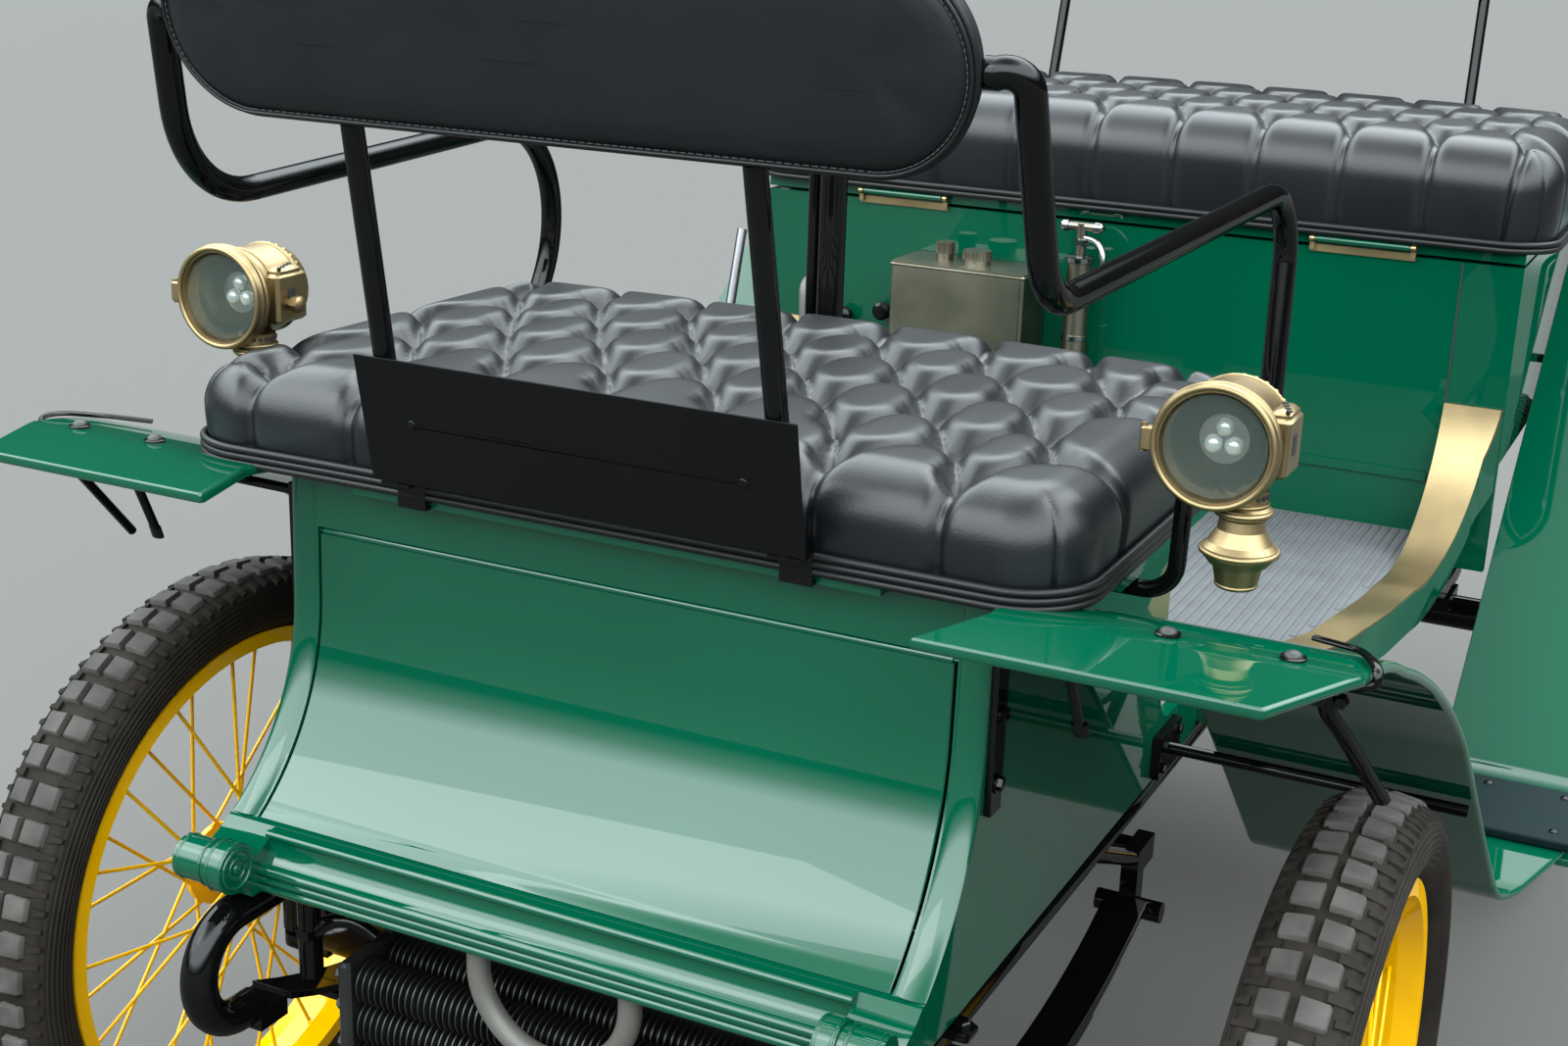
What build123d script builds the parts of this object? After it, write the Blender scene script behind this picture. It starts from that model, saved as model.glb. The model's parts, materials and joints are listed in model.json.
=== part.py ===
from build123d import *
from math import cos, sin, radians
import os

os.makedirs("parts", exist_ok=True)

# Light face-to-face carriage of about 1900. Millimetres, +Z up, the car faces -Y,
# +X is its left side, z = 0 is the ground. Stations along the car are measured
# back from the front axle, and at() puts them in the part's own frame.
FRONT_AXLE_Y = -784.0
WHEELBASE = 1570.0
TRACK = 1163.0
WHEEL_X = TRACK / 2


def at(y):
    return FRONT_AXLE_Y + y


# wheels and tyres
TYRE_R = 343.0
TYRE_HALF_W = 48.0
RIM_R = 274.4
RIM_HALF_W = 34.0
BEAD_R = 262.0
SPOKES = 32
SPOKE_R = 2.0
HUB_R = 22.0
FLANGE_R = 45.0
FLANGE_X = 32.0
STUB_R = 12.0
FIT = 0.05

# frame and axles
TUBE_R = 16.0
TUBE_X = 305.0
TUBE_Z = 514.0
C_END_R = 50.0
KING_X = 500.0
KING_R = 8.0
ARM = 110.0
TIE_Z = 300.0
FRONT_BEAM_Z = 300.0
REAR_SPRING_X = 400.0

# body
BODY_X = 330.0
PANEL = 12.0
BODY_LOW = 545.0
FLOOR_Z = 600.0
BOX_TOP = 876.0
SEAT_Z = 890.0
FRONT_BOX_REAR = 300.0
REAR_BOX = 1100.0
REAR_BACK = 1740.0
REAR_X = 445.0
WING_X = 518.0
REAR_TOP = 956.0
DOOR_X = 298.0
DOOR_GAP = 5.0
DOOR_AXIS = (-184.0, 827.0)
LID_AXIS = (1091.0, 964.0)

# seats
CUSHION_X = 406.0
CUSHION_Y = (-216.0, 297.0)
CUSHION_TOP = 975.0
CUSHION_SHIFT = -8.0
BACKREST_SHIFT = 7.0
REAR_CUSHION_X = 548.0
REAR_CUSHION_Y = (1088.0, 1575.0)
REAR_CUSHION_Z = (969.0, 1106.0)

# steering
COLUMN = (-65.0, 345.0)
COLUMN_R = 14.0
SHAFT_R = 9.0
BAR_Z = 1310.0

# fenders and steps
BOARD_T = 9.0
STEP_Z = 392.0


def rod(points, radius, bend=None):
    """A round bar along points with its corners bent to the given radii."""
    with BuildLine() as route:
        if bend is None:
            Line(points[0], points[-1])
        else:
            FilletPolyline(*points, radius=bend)
    start = Plane(origin=route.line @ 0, z_dir=route.line % 0)
    with BuildSketch(start) as ring:
        Circle(radius)
    sweep(sections=ring.sketch, path=route.line)


def board(x0, x1, y0, y1, z0, z1, mode=Mode.ADD):
    with Locations(((x0 + x1) / 2, at((y0 + y1) / 2), (z0 + z1) / 2)):
        Box(x1 - x0, y1 - y0, z1 - z0, mode=mode)


def side_plane(x=0.0):
    """Sketches on it read (station, height); extrusions run towards +X."""
    return Plane(origin=(x, FRONT_AXLE_Y, 0), x_dir=(0, 1, 0), z_dir=(1, 0, 0))


def finish(part, name):
    part.part.label = name
    export_step(part.part, "parts/" + name + ".step")


# ---------------------------------------------------------------- wheels
# name, side (+1 left), station
WHEELS = [
    ("front_left", 1, 0.0),
    ("front_right", -1, 0.0),
    ("rear_left", 1, WHEELBASE),
    ("rear_right", -1, WHEELBASE),
]
RIM_OUTLINE = [
    (-RIM_HALF_W, RIM_R), (-31.0, RIM_R), (-31.0, BEAD_R), (31.0, BEAD_R),
    (31.0, RIM_R), (RIM_HALF_W, RIM_R), (RIM_HALF_W, 259.0), (12.0, 252.0),
    (-12.0, 252.0), (-RIM_HALF_W, 259.0),
]
HUB_OUTLINE = [
    (-46.0, STUB_R + FIT), (-46.0, 26.0), (-36.0, HUB_R), (-FLANGE_X - 3, HUB_R),
    (-FLANGE_X - 3, FLANGE_R), (-FLANGE_X + 3, FLANGE_R), (-FLANGE_X + 6, HUB_R),
    (FLANGE_X - 6, HUB_R), (FLANGE_X - 3, FLANGE_R), (FLANGE_X + 3, FLANGE_R),
    (FLANGE_X + 3, 27.0), (64.0, 25.0), (72.0, 18.0), (74.0, 0.0), (54.0, 0.0),
    (54.0, STUB_R + FIT),
]
for name, side, station in WHEELS:
    hub = (side * WHEEL_X, at(station), TYRE_R)
    section = Plane(origin=hub, x_dir=(side, 0, 0), z_dir=(0, -side, 0))
    turn = Axis(hub, (1, 0, 0))
    with BuildPart() as tyre:
        with BuildSketch(section):
            with BuildLine():
                Line((-30.7, BEAD_R + 0.3), (-30.7, RIM_R + 1.5))
                Line((-30.7, RIM_R + 1.5), (-36.0, RIM_R + 4.0))
                ThreePointArc((-36.0, RIM_R + 4.0), (-TYRE_HALF_W, 304.0), (-38.0, 331.0))
                ThreePointArc((-38.0, 331.0), (0.0, TYRE_R), (38.0, 331.0))
                ThreePointArc((38.0, 331.0), (TYRE_HALF_W, 304.0), (36.0, RIM_R + 4.0))
                Line((36.0, RIM_R + 4.0), (30.7, RIM_R + 1.5))
                Line((30.7, RIM_R + 1.5), (30.7, BEAD_R + 0.3))
                Line((30.7, BEAD_R + 0.3), (-30.7, BEAD_R + 0.3))
            make_face()
        revolve(axis=turn)
    finish(tyre, "tyre_" + name)

    spokes = []
    for k in range(SPOKES):
        # spokes leave the two flanges in turn and cross their neighbours
        end = 1 if k % 2 == 0 else -1
        lean = 52.0 if (k // 2) % 2 == 0 else -52.0
        a, b = radians(k * 360.0 / SPOKES + lean), radians(k * 360.0 / SPOKES)
        foot = Vector(hub[0] + end * FLANGE_X, hub[1] + 38 * cos(a), hub[2] + 38 * sin(a))
        tip = Vector(hub[0] + end * 5, hub[1] + 255 * cos(b), hub[2] + 255 * sin(b))
        with BuildPart() as spoke:
            with BuildSketch(Plane(origin=foot, z_dir=tip - foot)):
                Circle(SPOKE_R)
            extrude(amount=(tip - foot).length)
        spokes.append(spoke.part)
    with BuildPart() as wheel:
        with BuildSketch(section):
            Polygon(*RIM_OUTLINE, align=None)
        revolve(axis=turn)
        with BuildSketch(section):
            Polygon(*HUB_OUTLINE, align=None)
        revolve(axis=turn)
        add(spokes)
    finish(wheel, "wheel_" + name)

# ---------------------------------------------------------------- frame
CROSS_R = 14.0
# cross tubes: station, half length, height
CROSS_TUBES = [
    (-150.0, TUBE_X, TUBE_Z),
    (430.0, TUBE_X, TUBE_Z),
    (1060.0, TUBE_X, TUBE_Z),
    (1262.0, REAR_SPRING_X + 20, TUBE_Z),
    (1880.0, REAR_SPRING_X + 20, TUBE_Z),
]
with BuildPart() as frame:
    rod(
        [(TUBE_X, at(-300), TUBE_Z - 2 * C_END_R), (TUBE_X, at(-366), TUBE_Z - 2 * C_END_R),
         (TUBE_X, at(-366), TUBE_Z), (TUBE_X, at(1880), TUBE_Z)],
        TUBE_R, [C_END_R - 0.5, C_END_R - 0.5],
    )
    # clamp that holds the front end of the spring, and its hanger behind
    board(TUBE_X - 19, TUBE_X + 19, -312, -276, TUBE_Z - 117, TUBE_Z - 98)
    rod([(TUBE_X, at(180), TUBE_Z - 6), (TUBE_X, at(345), 432)], 9)
    board(TUBE_X - 9, TUBE_X + 9, 334, 356, 366, 444)
    board(TUBE_X - 9, TUBE_X + 9, 350, 388, 416, 444)
    with BuildSketch(Plane(origin=(TUBE_X - 35, at(345), 377), x_dir=(0, 1, 0), z_dir=(1, 0, 0))):
        Circle(11)
    extrude(amount=70)
    # hangers of the rear spring
    board(REAR_SPRING_X - 9, REAR_SPRING_X + 9, 1250, 1276, 432, TUBE_Z - 4)
    board(REAR_SPRING_X - 9, REAR_SPRING_X + 9, 1866, 1892, 432, TUBE_Z - 4)
    mirror(about=Plane.YZ)
    for station, half, z in CROSS_TUBES:
        with BuildSketch(Plane(origin=(-half, at(station), z), x_dir=(0, 1, 0), z_dir=(1, 0, 0))):
            Circle(CROSS_R)
        extrude(amount=2 * half)
    with BuildSketch(Plane(origin=(-TUBE_X, at(374), 430), x_dir=(0, 1, 0), z_dir=(1, 0, 0))):
        Circle(10)
    extrude(amount=2 * TUBE_X)
    # steady bearing of the steering shaft on the cross tube behind it
    board(COLUMN[0] - 20, COLUMN[0] + 20, COLUMN[1] - 20, 425, TUBE_Z - 12, TUBE_Z + 12)
    with Locations((COLUMN[0], at(COLUMN[1]), TUBE_Z)):
        Cylinder(SHAFT_R + FIT, 60, mode=Mode.SUBTRACT)
finish(frame, "frame")

# leaf springs: x, mid station, mid height, front end and its height, rear end and its height, leaves
SPRINGS = [
    (TUBE_X, 0.0, 330.0, -275.6, 398.0, 333.6, 371.0, 3),
    (REAR_SPRING_X, WHEELBASE, 374.0, 1276.4, 440.0, 1865.6, 440.0, 4),
]
with BuildPart() as springs:
    for x, mid, low, front, front_z, rear, rear_z, leaves in SPRINGS:
        for leaf in range(leaves):
            t = 7.0
            lift = (leaves - 1 - leaf) * t
            span = 1 - 0.24 * leaf
            f, r = mid + (front - mid) * span, mid + (rear - mid) * span
            zf = low + lift + (front_z - low) * span * span
            zr = low + lift + (rear_z - low) * span * span
            with BuildSketch(side_plane(x - 22)):
                with BuildLine():
                    ThreePointArc((f, zf), (mid, low + lift), (r, zr))
                    Line((r, zr), (r, zr + t))
                    ThreePointArc((r, zr + t), (mid, low + lift + t), (f, zf + t))
                    Line((f, zf + t), (f, zf))
                make_face()
            extrude(amount=44)
    mirror(about=Plane.YZ)
finish(springs, "springs")

# ---------------------------------------------------------------- axles
with BuildPart() as front_axle:
    with BuildSketch(Plane(origin=(0, at(0), FRONT_BEAM_Z), x_dir=(0, 1, 0), z_dir=(1, 0, 0))):
        Circle(21)
    extrude(amount=474)
    board(TUBE_X - 26, TUBE_X + 26, -36, 36, 309, 327.2)
    # fork that holds the king pin
    board(452, 474, -17, 17, 279, 407)
    board(470, KING_X, -17, 17, 279, 293)
    board(470, KING_X, -17, 17, 393, 407)
    for z in (279, 393):
        with BuildSketch(Plane(origin=(KING_X, at(0), z))):
            Circle(17)
        extrude(amount=14)
    with BuildSketch(Plane(origin=(KING_X, at(0), 272))):
        Circle(KING_R)
    extrude(amount=144)
    mirror(about=Plane.YZ)
finish(front_axle, "front_axle")

for name, side in (("knuckle_left", 1), ("knuckle_right", -1)):
    with BuildPart() as knuckle:
        with BuildSketch(Plane(origin=(side * KING_X, at(0), 298))):
            Circle(18)
        extrude(amount=90)
        with BuildSketch(Plane(origin=(side * (KING_X + 10), at(0), TYRE_R), x_dir=(0, 1, 0), z_dir=(side, 0, 0))):
            Circle(16)
        extrude(amount=WHEEL_X - KING_X - 10 - 47)
        with BuildSketch(Plane(origin=(side * KING_X, at(0), TYRE_R), x_dir=(0, 1, 0), z_dir=(side, 0, 0))):
            Circle(STUB_R)
        extrude(amount=WHEEL_X - KING_X + 52)
        # steering arm, its pin hanging below
        with Locations((side * KING_X, at(ARM / 2 + 4), 318)):
            Box(20, ARM - 8, 12)
        with BuildSketch(Plane(origin=(side * KING_X, at(ARM), 312))):
            Circle(12)
        extrude(amount=12)
        with BuildSketch(Plane(origin=(side * KING_X, at(ARM), TIE_Z - 12))):
            Circle(5)
        extrude(amount=26)
        with BuildSketch(Plane(origin=(side * KING_X, at(0), 290))):
            Circle(KING_R + FIT)
        extrude(amount=120, mode=Mode.SUBTRACT)
    finish(knuckle, name)

with BuildPart() as tie_rod:
    with BuildSketch(Plane(origin=(-KING_X + 8, at(ARM), TIE_Z), x_dir=(0, 1, 0), z_dir=(1, 0, 0))):
        Circle(8)
    extrude(amount=2 * KING_X - 16)
    with BuildSketch(Plane(origin=(COLUMN[0], at(ARM), TIE_Z), x_dir=(1, 0, 0), z_dir=(0, 1, 0))):
        Circle(7)
    extrude(amount=COLUMN[1] - 8)
    # eyes: x, station, bore
    for x, station in ((-KING_X, ARM), (KING_X, ARM), (COLUMN[0], ARM + COLUMN[1])):
        with BuildSketch(Plane(origin=(x, at(station), TIE_Z - 9))):
            Circle(13)
        extrude(amount=18)
    for x, station, bore in (
        (-KING_X, ARM, 5.6), (KING_X, ARM, 5 + FIT), (COLUMN[0], ARM + COLUMN[1], 5.6),
    ):
        with BuildSketch(Plane(origin=(x, at(station), TIE_Z - 30))):
            Circle(bore)
        extrude(amount=60, mode=Mode.SUBTRACT)
finish(tie_rod, "tie_rod")

with BuildPart() as rear_axle:
    with BuildSketch(Plane(origin=(0, at(WHEELBASE), TYRE_R), x_dir=(0, 1, 0), z_dir=(1, 0, 0))):
        Circle(25)
    extrude(amount=WHEEL_X - 47)
    with BuildSketch(Plane(origin=(0, at(WHEELBASE), TYRE_R), x_dir=(0, 1, 0), z_dir=(1, 0, 0))):
        Circle(STUB_R)
    extrude(amount=WHEEL_X + 52)
    with BuildSketch(Plane(origin=(0, at(WHEELBASE), TYRE_R), x_dir=(0, 1, 0), z_dir=(1, 0, 0))):
        Circle(100)
    extrude(amount=48, taper=12)
    board(REAR_SPRING_X - 26, REAR_SPRING_X + 26, WHEELBASE - 40, WHEELBASE + 40, 352, 373.6)
    mirror(about=Plane.YZ)
finish(rear_axle, "rear_axle")

with BuildPart() as engine:
    board(-150, 150, 1300, 1640, 470, 900)
finish(engine, "engine")

# ---------------------------------------------------------------- floor
with BuildPart() as floor:
    board(-317, 317, -172, FRONT_BOX_REAR + 152, FLOOR_Z - 15, FLOOR_Z)
    with BuildSketch(Plane(origin=(0, FRONT_AXLE_Y, FLOOR_Z - 15))):
        Polygon((-317, 452), (317, 452), (398, 640), (424, 790), (437, 980), (440, 1099),
                (-440, 1099), (-437, 980), (-424, 790), (-398, 640), align=None)
    extrude(amount=15)
    # bearers on the frame tubes
    for side in (1, -1):
        x = side * TUBE_X
        board(x - 10, x + 10, -170, REAR_BOX - 1, TUBE_Z + TUBE_R + 0.3, FLOOR_Z - 10)
    with Locations((COLUMN[0], at(COLUMN[1]), FLOOR_Z)):
        Cylinder(SHAFT_R + 3, 60, mode=Mode.SUBTRACT)
finish(floor, "floor")

# ---------------------------------------------------------------- body sides
# the concave front: the same curve bounds the side panels, the surround and the door
FRONT_CURVE = [(-187.0, BOX_TOP), (-190.0, 768.0), (-206.0, 690.0), (-286.0, 590.0)]


def front_band(z0, z1, back):
    """The front's concave skin between two heights, back mm thick."""
    (a, b, c, d) = FRONT_CURVE
    with BuildLine() as edge:
        Line(a, b)
        ThreePointArc(b, c, d)
        Line(d, (d[0] + back, d[1]))
        ThreePointArc((d[0] + back, d[1]), (c[0] + back, c[1] + 4), (b[0] + back, b[1]))
        Line((b[0] + back, b[1]), (a[0] + back, a[1]))
        Line((a[0] + back, a[1]), a)
    make_face(edge.edges())
    with Locations((-230, (z0 + z1) / 2)):
        Rectangle(260, z1 - z0, mode=Mode.INTERSECT)


SILL_INNER = [(322, 452), (399, 640), (425, 790), (438, 980), (445, 1099)]
SILL_OUTER = [(517, 1099), (503, 1075), (485, 951), (465, 760), (440, 621), (352, 452)]


def sill_band(low, start):
    """Sill's side view: level with the floor, then swept up to the rear box."""
    with BuildLine() as edge:
        Line((start, FLOOR_Z + low[0]), (850, FLOOR_Z + low[0]))
        ThreePointArc((850, FLOOR_Z + low[0]), (1035 - low[1], 655 + low[1]), (1098 - low[2], 774))
        Line((1098 - low[2], 774), (1098 - low[5], 774))
        ThreePointArc((1098 - low[5], 774), (1035 - low[4], 655 + low[4]), (850, FLOOR_Z + low[3]))
        Line((850, FLOOR_Z + low[3]), (start, FLOOR_Z + low[3]))
        Line((start, FLOOR_Z + low[3]), (start, FLOOR_Z + low[0]))
    make_face(edge.edges())


with BuildPart() as body_sides:
    a, b, c, d = FRONT_CURVE
    with BuildSketch(side_plane(BODY_X - PANEL)):
        with BuildLine():
            Line(a, b)
            ThreePointArc(b, c, d)
            Polyline(d, (-287, BODY_LOW), (450, BODY_LOW), (450, FLOOR_Z), (340, FLOOR_Z))
            ThreePointArc((340, FLOOR_Z), (311, 612), (FRONT_BOX_REAR, 640))
            Polyline((FRONT_BOX_REAR, 640), (FRONT_BOX_REAR, BOX_TOP), a)
        make_face()
    extrude(amount=PANEL)
    mirror(about=Plane.YZ)

for name, low, start in (
    ("body_sills", (-50.0, -30.0, -45.0, 0.0, 0.0, 0.0), 452.0),
    ("sill_caps", (0.3, 0.2, 0.3, 3.3, 2.4, 3.3), 470.0),
):
    with BuildPart() as sill:
        with BuildSketch(side_plane(300)):
            sill_band(low, start)
        extrude(amount=260)
        with BuildSketch(Plane(origin=(0, FRONT_AXLE_Y, 500))):
            Polygon(*SILL_INNER, *SILL_OUTER, align=None)
        extrude(amount=320, mode=Mode.INTERSECT)
        mirror(about=Plane.YZ)
    finish(sill, name)

# ---------------------------------------------------------------- front seat box
with BuildPart() as seat_frame:
    board(-317.5, 317.5, FRONT_BOX_REAR - PANEL, FRONT_BOX_REAR - 0.3, FLOOR_Z + 0.3, BOX_TOP + 2)
    with BuildSketch(Plane(origin=(0, FRONT_AXLE_Y, BOX_TOP + 0.3))):
        Polygon((-246, -211), (246, -211), (246, -184), (334, -184), (334, -104), (400, -104),
                (400, 286), (426, 286), (426, 326), (386, 326), (386, 306), (-386, 306), (-386, 326),
                (-426, 326), (-426, 286), (-400, 286), (-400, -104), (-334, -104), (-334, -184),
                (-246, -184), align=None)
    extrude(amount=SEAT_Z - BOX_TOP - 0.6)
finish(seat_frame, "front_seat_frame")

MOULD_X = 278.0
SCROLL = (-346.0, 575.0)
with BuildPart() as surround:
    add(body_sides.part)
    with BuildSketch(side_plane(-317.5)):
        front_band(590, BOX_TOP, 14)
    extrude(amount=635)
    board(-DOOR_X - DOOR_GAP, DOOR_X + DOOR_GAP, -300, -150, 560, DOOR_AXIS[1] + 4.5, mode=Mode.SUBTRACT)
    # hinge pin of the locker door
    with BuildSketch(Plane(origin=(-310, at(DOOR_AXIS[0]), DOOR_AXIS[1]), x_dir=(0, 1, 0), z_dir=(1, 0, 0))):
        Circle(1.5)
    extrude(amount=620)
    # moulding across the foot of the front: a cove over three beads
    with BuildSketch(side_plane(-MOULD_X)):
        with BuildLine():
            Polyline((-280, 590.5), (-298, 590.5))
            ThreePointArc((-298, 590.5), (-304, 588), (-301, 584))
            ThreePointArc((-301, 584), (-303, 570), (-312, 563))
            ThreePointArc((-312, 563), (-317, 558), (-312, 554.5))
            ThreePointArc((-312, 554.5), (-316, 550.5), (-312, 546.5))
            ThreePointArc((-312, 546.5), (-316, 542.5), (-312, 538.5))
            Polyline((-312, 538.5), (-280, 538.5), (-280, 590.5))
        make_face()
    extrude(amount=2 * MOULD_X)
    # corner blocks that carry the curve forward to the scrolls
    for side in (1, -1):
        x0, x1 = sorted((side * (MOULD_X - 0.5), side * BODY_X))
        with BuildSketch(side_plane(x0)):
            with BuildLine():
                Line((-287.3, 591), (-290, 590))
                ThreePointArc((-290, 590), (-312, 577), (-332, 570))
                Polyline((-332, 570), (-332, 560), (-325, 538.5), (-287.3, 538.5), (-287.3, 591))
            make_face()
        extrude(amount=x1 - x0)
        for start, length, radius in ((274, 18, 22), (291.5, 36, 19.5)):
            with BuildSketch(Plane(origin=(side * start, at(SCROLL[0]), SCROLL[1]), x_dir=(0, 1, 0), z_dir=(side, 0, 0))):
                Circle(radius)
            extrude(amount=length)
    board(-317, 317, -290, -276, 570, 591)
    board(-BODY_X + 13, BODY_X - 13, -284.5, -172.5, 570, 584)
finish(surround, "front_body_panels")

with BuildPart() as door:
    with BuildSketch(side_plane(-DOOR_X)):
        front_band(595, DOOR_AXIS[1] - 3.4, 13)
    extrude(amount=2 * DOOR_X)
    with BuildSketch(Plane(origin=(-DOOR_X, at(DOOR_AXIS[0]), DOOR_AXIS[1]), x_dir=(0, 1, 0), z_dir=(1, 0, 0))):
        Circle(3.5)
    extrude(amount=2 * DOOR_X)
    with BuildSketch(Plane(origin=(-DOOR_X - 1, at(DOOR_AXIS[0]), DOOR_AXIS[1]), x_dir=(0, 1, 0), z_dir=(1, 0, 0))):
        Circle(1.5 + FIT)
    extrude(amount=2 * DOOR_X + 2, mode=Mode.SUBTRACT)
finish(door, "front_door")

# ---------------------------------------------------------------- rear body
with BuildPart() as rear_front:
    board(-REAR_X + 0.3, REAR_X - 0.3, REAR_BOX, REAR_BOX + 14, BODY_LOW, REAR_TOP - 4)
    board(-REAR_X + 12, REAR_X - 12, REAR_BOX - 3, REAR_BOX + 2, 668, 680)

with BuildPart() as rear_panels:
    add(rear_front.part)
    for side in (1, -1):
        x0, x1 = sorted((side * (REAR_X - PANEL), side * REAR_X))
        board(x0, x1, REAR_BOX + 14.3, REAR_BACK, BODY_LOW, REAR_TOP - 4)
        # overhanging wing under the wide cushion
        x0, x1 = sorted((side * (WING_X - PANEL), side * WING_X))
        board(x0, x1, REAR_BOX, 1590, 700, REAR_TOP - 4)
        x0, x1 = sorted((side * REAR_X, side * WING_X))
        board(x0, x1, REAR_BOX, REAR_BOX + 14, 560, REAR_TOP - 4)
        board(x0, x1, 1576, 1590, 700, REAR_TOP - 4)
        board(x0, x1, REAR_BOX + 7, 1590, 700, 712)
    board(-REAR_X + 5, REAR_X - 5, REAR_BACK - 14, REAR_BACK, BODY_LOW, REAR_TOP - 4)
    # deck behind the seat
    board(-REAR_X, REAR_X, 1585, REAR_BACK + 6, REAR_TOP - 3.7, REAR_TOP + 12)
finish(rear_panels, "rear_body_panels")

LID_HINGES = (-308, 322)
with BuildPart() as lid:
    board(-WING_X, WING_X, REAR_BOX, 1578, REAR_TOP + 0.5, REAR_TOP + 12.6)
    for x in LID_HINGES:
        board(x - 58, x + 58, LID_AXIS[0], REAR_BOX + 10, LID_AXIS[1] - 3, LID_AXIS[1] + 3)
        with BuildSketch(Plane(origin=(x - 58, at(LID_AXIS[0]), LID_AXIS[1]), x_dir=(0, 1, 0), z_dir=(1, 0, 0))):
            Circle(4.5)
        extrude(amount=116)
        with BuildSketch(Plane(origin=(x - 60, at(LID_AXIS[0]), LID_AXIS[1]), x_dir=(0, 1, 0), z_dir=(1, 0, 0))):
            Circle(2 + FIT)
        extrude(amount=120, mode=Mode.SUBTRACT)
finish(lid, "rear_seat_lid")

with BuildPart() as hinges:
    for x in LID_HINGES:
        with BuildSketch(Plane(origin=(x - 66, at(LID_AXIS[0]), LID_AXIS[1]), x_dir=(0, 1, 0), z_dir=(1, 0, 0))):
            Circle(2)
        extrude(amount=132)
        for end in (x - 66, x + 60):
            with BuildSketch(Plane(origin=(end, at(LID_AXIS[0]), LID_AXIS[1]), x_dir=(0, 1, 0), z_dir=(1, 0, 0))):
                Circle(4.5)
            extrude(amount=6)
            board(end, end + 6, LID_AXIS[0] + 1, REAR_BOX - 0.3, LID_AXIS[1] - 14, LID_AXIS[1] + 2)
        board(x - 66, x + 66, REAR_BOX - 3, REAR_BOX - 0.3, LID_AXIS[1] - 17, LID_AXIS[1] - 7.5)
finish(hinges, "lid_hinges")

# ---------------------------------------------------------------- cushions
# name, middle, half width, first and last station, bottom, top, corner, edge radius
CUSHIONS = [
    ("front_cushion", CUSHION_SHIFT, CUSHION_X, CUSHION_Y[0], CUSHION_Y[1],
     SEAT_Z + 0.4, CUSHION_TOP, 62, 26),
    ("rear_cushion", 0.0, REAR_CUSHION_X, REAR_CUSHION_Y[0], REAR_CUSHION_Y[1],
     REAR_CUSHION_Z[0], REAR_CUSHION_Z[1], 40, 30),
]
for name, x, half, y0, y1, z0, z1, corner, edge in CUSHIONS:
    with BuildPart() as cushion:
        with BuildSketch(Plane(origin=(x, at((y0 + y1) / 2), z0))):
            RectangleRounded(2 * half, y1 - y0, corner)
        extrude(amount=z1 - z0)
        fillet(cushion.faces().sort_by(Axis.Z)[-1].edges(), edge)
    finish(cushion, name)

# backrest pads: name, middle, centre station, centre height, half width, height, thickness, lean
PADS = [
    ("front_backrest", BACKREST_SHIFT, -307.5, 1279.0, 333.0, 150.0, 34.0, 11.7),
    ("rear_backrest", 0.0, 1768.0, 1330.0, 420.0, 170.0, 50.0, -15.0),
]
for name, x, station, z, half, height, thick, lean in PADS:
    up = Vector(0, -sin(radians(lean)), cos(radians(lean)))
    face = Plane(origin=(x, at(station), z), x_dir=(1, 0, 0), z_dir=up.cross(Vector(1, 0, 0)) * -1)
    with BuildPart() as pad:
        with BuildSketch(face.offset(-thick / 2)):
            SlotOverall(2 * half, height)
        extrude(amount=thick)
        fillet(pad.edges().filter_by(GeomType.LINE) + pad.edges().filter_by(GeomType.CIRCLE), 11)
    finish(pad, name)

# ---------------------------------------------------------------- seat irons
with BuildPart() as irons:
    # backrest rod and the angle that bolts it to the front of the seat
    rod([(171.7, at(-291.6), 1202.4), (178.2, at(-231.7), 903.5)], 9)
    board(164.5, 192.5, -241, -216.3, 901.3, 904.3)
    board(164.5, 192.5, -219.3, -216.3, 876.3, 904.3)
    board(164.5, 192.5, -219.3, -211.3, 876.6, 879.6)
    board(372, 392, -72, -48, 866, BOX_TOP + 0.1)
    mirror(about=Plane.YZ)
    # armrest tubes, bent by hand and not quite alike: pad's end, bends, foot
    for points, bends in (
        ([(345.8, at(-302), 1276), (368, at(-299), 1285), (369, at(-235), 1115),
          (398, at(336), 1134), (407, at(300), SEAT_Z + 2)], [16, 57, 58]),
        ([(-331.8, at(-302), 1276), (-350, at(-298), 1286), (-369, at(-258), 1117),
          (-398, at(422), 1139), (-407, at(298), SEAT_Z + 5.2)], [14, 105, 120]),
    ):
        x, y, z = points[0]
        out = 1 if x > 0 else -1
        with BuildSketch(Plane(origin=(x - out * 5.4, y, 1277), x_dir=(0, 1, 0), z_dir=(out, 0, 0))):
            Circle(11)
        extrude(amount=9)
        rod(points, 11, bends)
        with BuildSketch(Plane(origin=(points[-1][0], points[-1][1], SEAT_Z - 0.05))):
            Circle(16)
        extrude(amount=9)
    # lamp brackets, from under the seat to the lamps' drums
    for points in (
        [(380, at(-60), 867), (429, at(-60), 867), (433, at(-66), 969)],
        [(-380, at(-56), 867), (-470, at(-56), 867), (-472, at(-58), 962.4)],
    ):
        rod(points, 7, [26])
finish(irons, "front_seat_irons")

with BuildPart() as rear_irons:
    rod([(332, at(1722), REAR_TOP + 12.3), (332, at(1722), 985), (325, at(1806), 1330)], 8, [60])
    with BuildSketch(Plane(origin=(332, at(1722), REAR_TOP + 12.2))):
        Circle(18)
    extrude(amount=5)
    mirror(about=Plane.YZ)
finish(rear_irons, "rear_seat_irons")

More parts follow.
